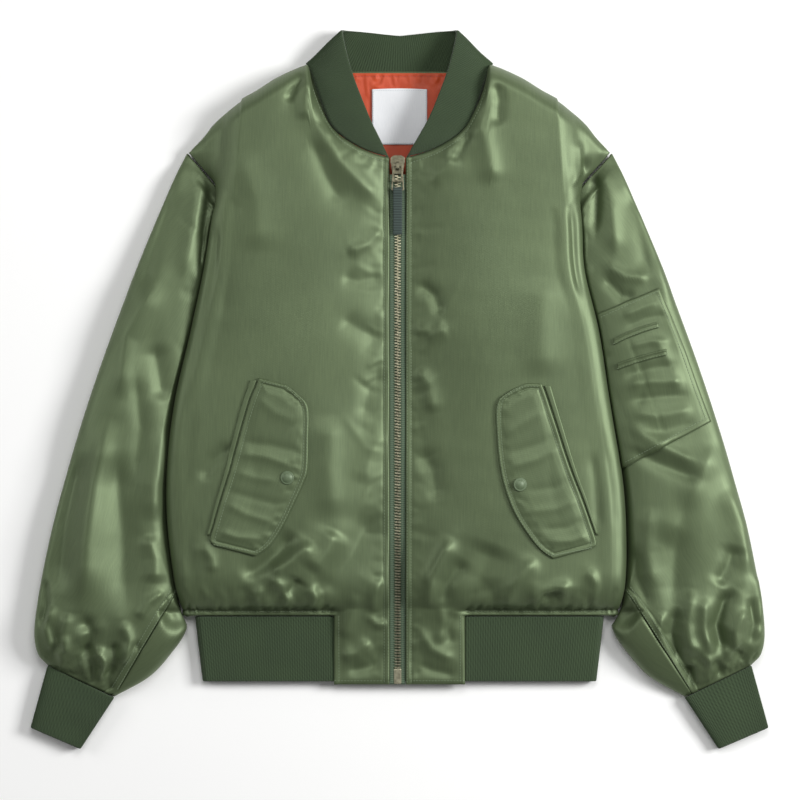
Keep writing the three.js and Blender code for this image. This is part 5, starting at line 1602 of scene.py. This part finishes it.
def pocket_lines():
    """Two rows across the pocket and one down its outer edge, and its upright seams."""
    outer_x = lambda y: read(POCKET_ROWS, "outer_x", y) - POCKET_STITCH
    lines = [[(outer_x(y), y) for y in spaced(98, -28, 6)]]
    for y in (102.0, -30.0):
        inner_y = read(POCKET_ROWS, "inner_y", y)
        inner_x = fold_x(LEFT, inner_y) + POCKET_FROM_FOLD + 3
        lines.append([(blend(outer_x(y), inner_x, t), blend(y, inner_y, t)) for t in spaced(0, 1, 0.08)])
    return [*lines, *POCKET_SEAMS]


stitch_lines = [line for side in (RIGHT, LEFT) for line in (*front_lines(side), *sleeve_lines(side))]
for side in (RIGHT, LEFT):
    tree = cloth_below(flaps[side])
    stitch_lines.append(sewn_line(tree, inset_loop(side, FLAP_STITCH), FLAP_GAP))
    stitch_lines.append(sewn_line(tree, inset_loop(side, RIM_STITCH)[:RIM_POINTS], FLAP_GAP))
stitch_lines += [sewn_line(pocket_cloth, line) for line in pocket_lines()]
for piece, line in zip(slots.values(), PEN_LINES.values()):
    stitch_lines.append(sewn_line(cloth_below(piece), [(x, y - PEN_SLOT + 1.4) for x, y in line]))
stitches = set_along(
    "stitches_shell", stitch_lines, thread, OLIVE_THREAD, STITCH_PITCH, *STITCH, lean=0.12, seed=4)
half, y = LINING_STITCH
lining_stitches = set_along(
    "stitches_lining", [sewn_line(cloth_below(lining), [(-half, y), (half, y)])], thread, ORANGE_THREAD,
    STITCH_PITCH, *STITCH, lean=0.05, seed=5)
half, top, foot = LABEL_HALF - 1.6, LABEL_TOP - 1.4, LABEL_FOOT + 1.6
label_rim = [(-half, foot), (-half, top), (half, top), (half, foot), (-half, foot)]
label_stitches = set_along(
    "stitches_label", [sewn_line(cloth_below(label), label_rim)], thread, WHITE_THREAD,
    LABEL_PITCH, *LABEL_STITCH, lean=0.05, seed=6)
print(len(stitch_lines), "rows of stitches,", len(stitches.data.polygons), "faces")

# %% [markdown]
# Each piece is hung on the body that it moves with, and the solid that it stands for is hidden.

# %% Tie every piece to the solid jacket
def tie(piece, body, slot, *nodes):
    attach(piece, body)
    if nodes:
        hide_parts(*nodes)


for side, word in SIDE_NAMES.items():
    tie(fronts[side], "jacket", "shell", f"front_{word}", f"tab_{word}")
    tie(sleeve_tops[side], "jacket", "shell", f"sleeve_top_{word}")
    tie(sleeve_unders[side], "jacket", "shell", f"sleeve_under_{word}")
    tie(cuffs[side], "jacket", "rib_knit", f"cuff_{word}")
    tie(flaps[side], "jacket", "shell", f"flap_{word}")
    tie(welts[side], "jacket", "shell", f"welt_{word}")
tie(back, "jacket", "shell", "back")
tie(collar, "jacket", "rib_knit", "collar")
tie(waistband, "jacket", "rib_knit", "hem_rib")
tie(pocket, "jacket", "shell", "sleeve_pocket")
for name, piece in slots.items():
    tie(piece, "jacket", "shell", f"pen_slot_{name}")
tie(lining, "jacket", "lining", "lining_back")
tie(label, "jacket", "label", "label")
for side, word in SIDE_NAMES.items():
    tie(tapes[side], "jacket", "zip_tape", f"zip_tape_{word}")
    tie(snaps[side], "jacket", "snap_metal", f"snap_{word}")
tie(teeth, "jacket", "zip_metal", "zip_teeth")
tie(zip_box, "jacket", "zip_metal", "zip_box")
tie(slider, "jacket", "zip_metal", "slider")
tie(pull, "pull_tab", "zip_metal", "pull")
tie(ribbon, "pull_tab", "ribbon", "pull_ribbon")
tie(stitches, "jacket", "shell")
tie(lining_stitches, "jacket", "lining")
tie(label_stitches, "jacket", "label")
print("the slider, teeth and box move with the jacket, the pull and its ribbon with the pull tab")

# %% [markdown]
# A pattern cutter lays each piece on a rectangle of cloth. This table gives that rectangle, and what the
# piece lies on. Its own area is measured on the finished piece, because padding and gathers take up more
# cloth than a flat outline shows.

# %% Say how each piece of cloth was cut
CUTS = [
    (fronts[RIGHT], 0.275, 0.66, "laid", ["back"]), (fronts[LEFT], 0.275, 0.66, "laid", ["back"]),
    (back, 0.50, 0.60, "laid", ["floor"]),
    (sleeve_tops[RIGHT], 0.21, 0.58, "gathered", ["sleeve_under_right"]),
    (sleeve_tops[LEFT], 0.21, 0.58, "gathered", ["sleeve_under_left"]),
    (sleeve_unders[RIGHT], 0.17, 0.56, "laid", ["floor"]),
    (sleeve_unders[LEFT], 0.17, 0.56, "laid", ["floor"]),
    (cuffs[RIGHT], 0.155, 0.09, "stretched", ["floor"]), (cuffs[LEFT], 0.155, 0.09, "stretched", ["floor"]),
    (collar, 0.42, 0.075, "stretched", ["front_right", "front_left"]),
    (waistband, 0.86, 0.075, "stretched", ["floor"]),
    (flaps[RIGHT], 0.10, 0.19, "laid", ["front_right"]), (flaps[LEFT], 0.10, 0.19, "laid", ["front_left"]),
    (welts[RIGHT], 0.012, 0.17, "laid", ["front_right"]), (welts[LEFT], 0.012, 0.17, "laid", ["front_left"]),
    (pocket, 0.11, 0.16, "laid", ["sleeve_top_left"]),
    (slots["upper"], 0.0105, 0.055, "laid", ["sleeve_pocket"]),
    (slots["lower"], 0.0105, 0.055, "laid", ["sleeve_pocket"]),
    (lining, 0.13, 0.116, "laid", ["back"]), (label, 0.059, 0.060, "laid", ["lining_back"]),
    (tapes[RIGHT], 0.0105, 0.54, "laid", ["front_right"]),
    (tapes[LEFT], 0.0105, 0.54, "laid", ["front_left"]),
    (ribbon, 0.0105, 0.11, "folded", ["pull"]),
]
for piece, width, length, held, rests_on in CUTS:
    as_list(rests_on)
made = [thing for thing in bpy.data.objects if thing.type == "MESH" and thing.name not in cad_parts]
corners = [len(face.vertices) for thing in made for face in thing.data.polygons]
print("triangles in all:", sum(corners) - 2 * len(corners))

# %% [markdown]
# The picture is a catalogue shot: the jacket lies on a white sweep and the camera looks straight down
# from far away. A large softbox on the right makes the slopes that face it shine and leaves the others
# dark, a weaker one fills from the left, and one overhead keeps the floor white. The world adds a little
# light from all sides.

# %% Floor, light and camera
VIEW_WIDTH, DISTANCE, VIEW_MIDDLE, SENSOR = 0.84, 6.0, (0.0005, -0.011), 36
FLOOR_HALF, FLOOR_Z, WORLD_LIGHT = 4, -0.001, 0.19
SOFTBOXES = {
    "softbox_right": ((2.3, 0.5, 1.8), 1.1, 84),
    "softbox_left": ((-2.5, 0.7, 1.5), 1.2, 16),
    "softbox_above": ((0.1, 1.4, 2.8), 1.6, 33),
}


def white_sweep():
    """Matt white card. It shows as an even white with a soft shadow under the cloth."""
    material, tree, principled = new_material("white_card", Base_Color=linear("#FDFDFC"), Roughness=0.9)
    bumps(tree, principled, (noise(tree, (60, 60, 60), "Object"), 0.00005))
    return material


mesh = bpy.data.meshes.new("floor")
corners = [(x * FLOOR_HALF, y * FLOOR_HALF, FLOOR_Z) for x, y in ((-1, -1), (1, -1), (1, 1), (-1, 1))]
mesh.from_pydata(corners, [], [(0, 1, 2, 3)])
mesh.materials.append(white_sweep())
floor = in_scene("floor", mesh)
floor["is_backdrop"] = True

for name, (place, size, power) in SOFTBOXES.items():
    lamp = in_scene(name, bpy.data.lights.new(name, "AREA"))
    lamp.data.size, lamp.data.energy = size, power
    lamp.location = place
    lamp.rotation_mode = "QUATERNION"
    lamp.rotation_quaternion = (-Vector(place)).to_track_quat("-Z", "Y")

world = bpy.data.worlds.new("pale room")
world.use_nodes = True
background = world.node_tree.nodes["Background"]
background.inputs["Color"].default_value = (1, 1, 1, 1)
background.inputs["Strength"].default_value = WORLD_LIGHT
bpy.context.scene.world = world
bpy.context.scene.view_settings.view_transform = "Standard"

camera = in_scene("camera", bpy.data.cameras.new("camera"))
camera.data.sensor_width, camera.data.lens = SENSOR, SENSOR * DISTANCE / VIEW_WIDTH
camera.location = (*VIEW_MIDDLE, DISTANCE)
bpy.context.scene.camera = camera
print("camera", DISTANCE, "m above a frame", VIEW_WIDTH, "m wide")

# %% [markdown]
# Last, the boxes round the solids and round the finished pieces are put side by side.

# %% The sizes side by side
{"cad": cad_box, "visual": [list(corner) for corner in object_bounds()]}
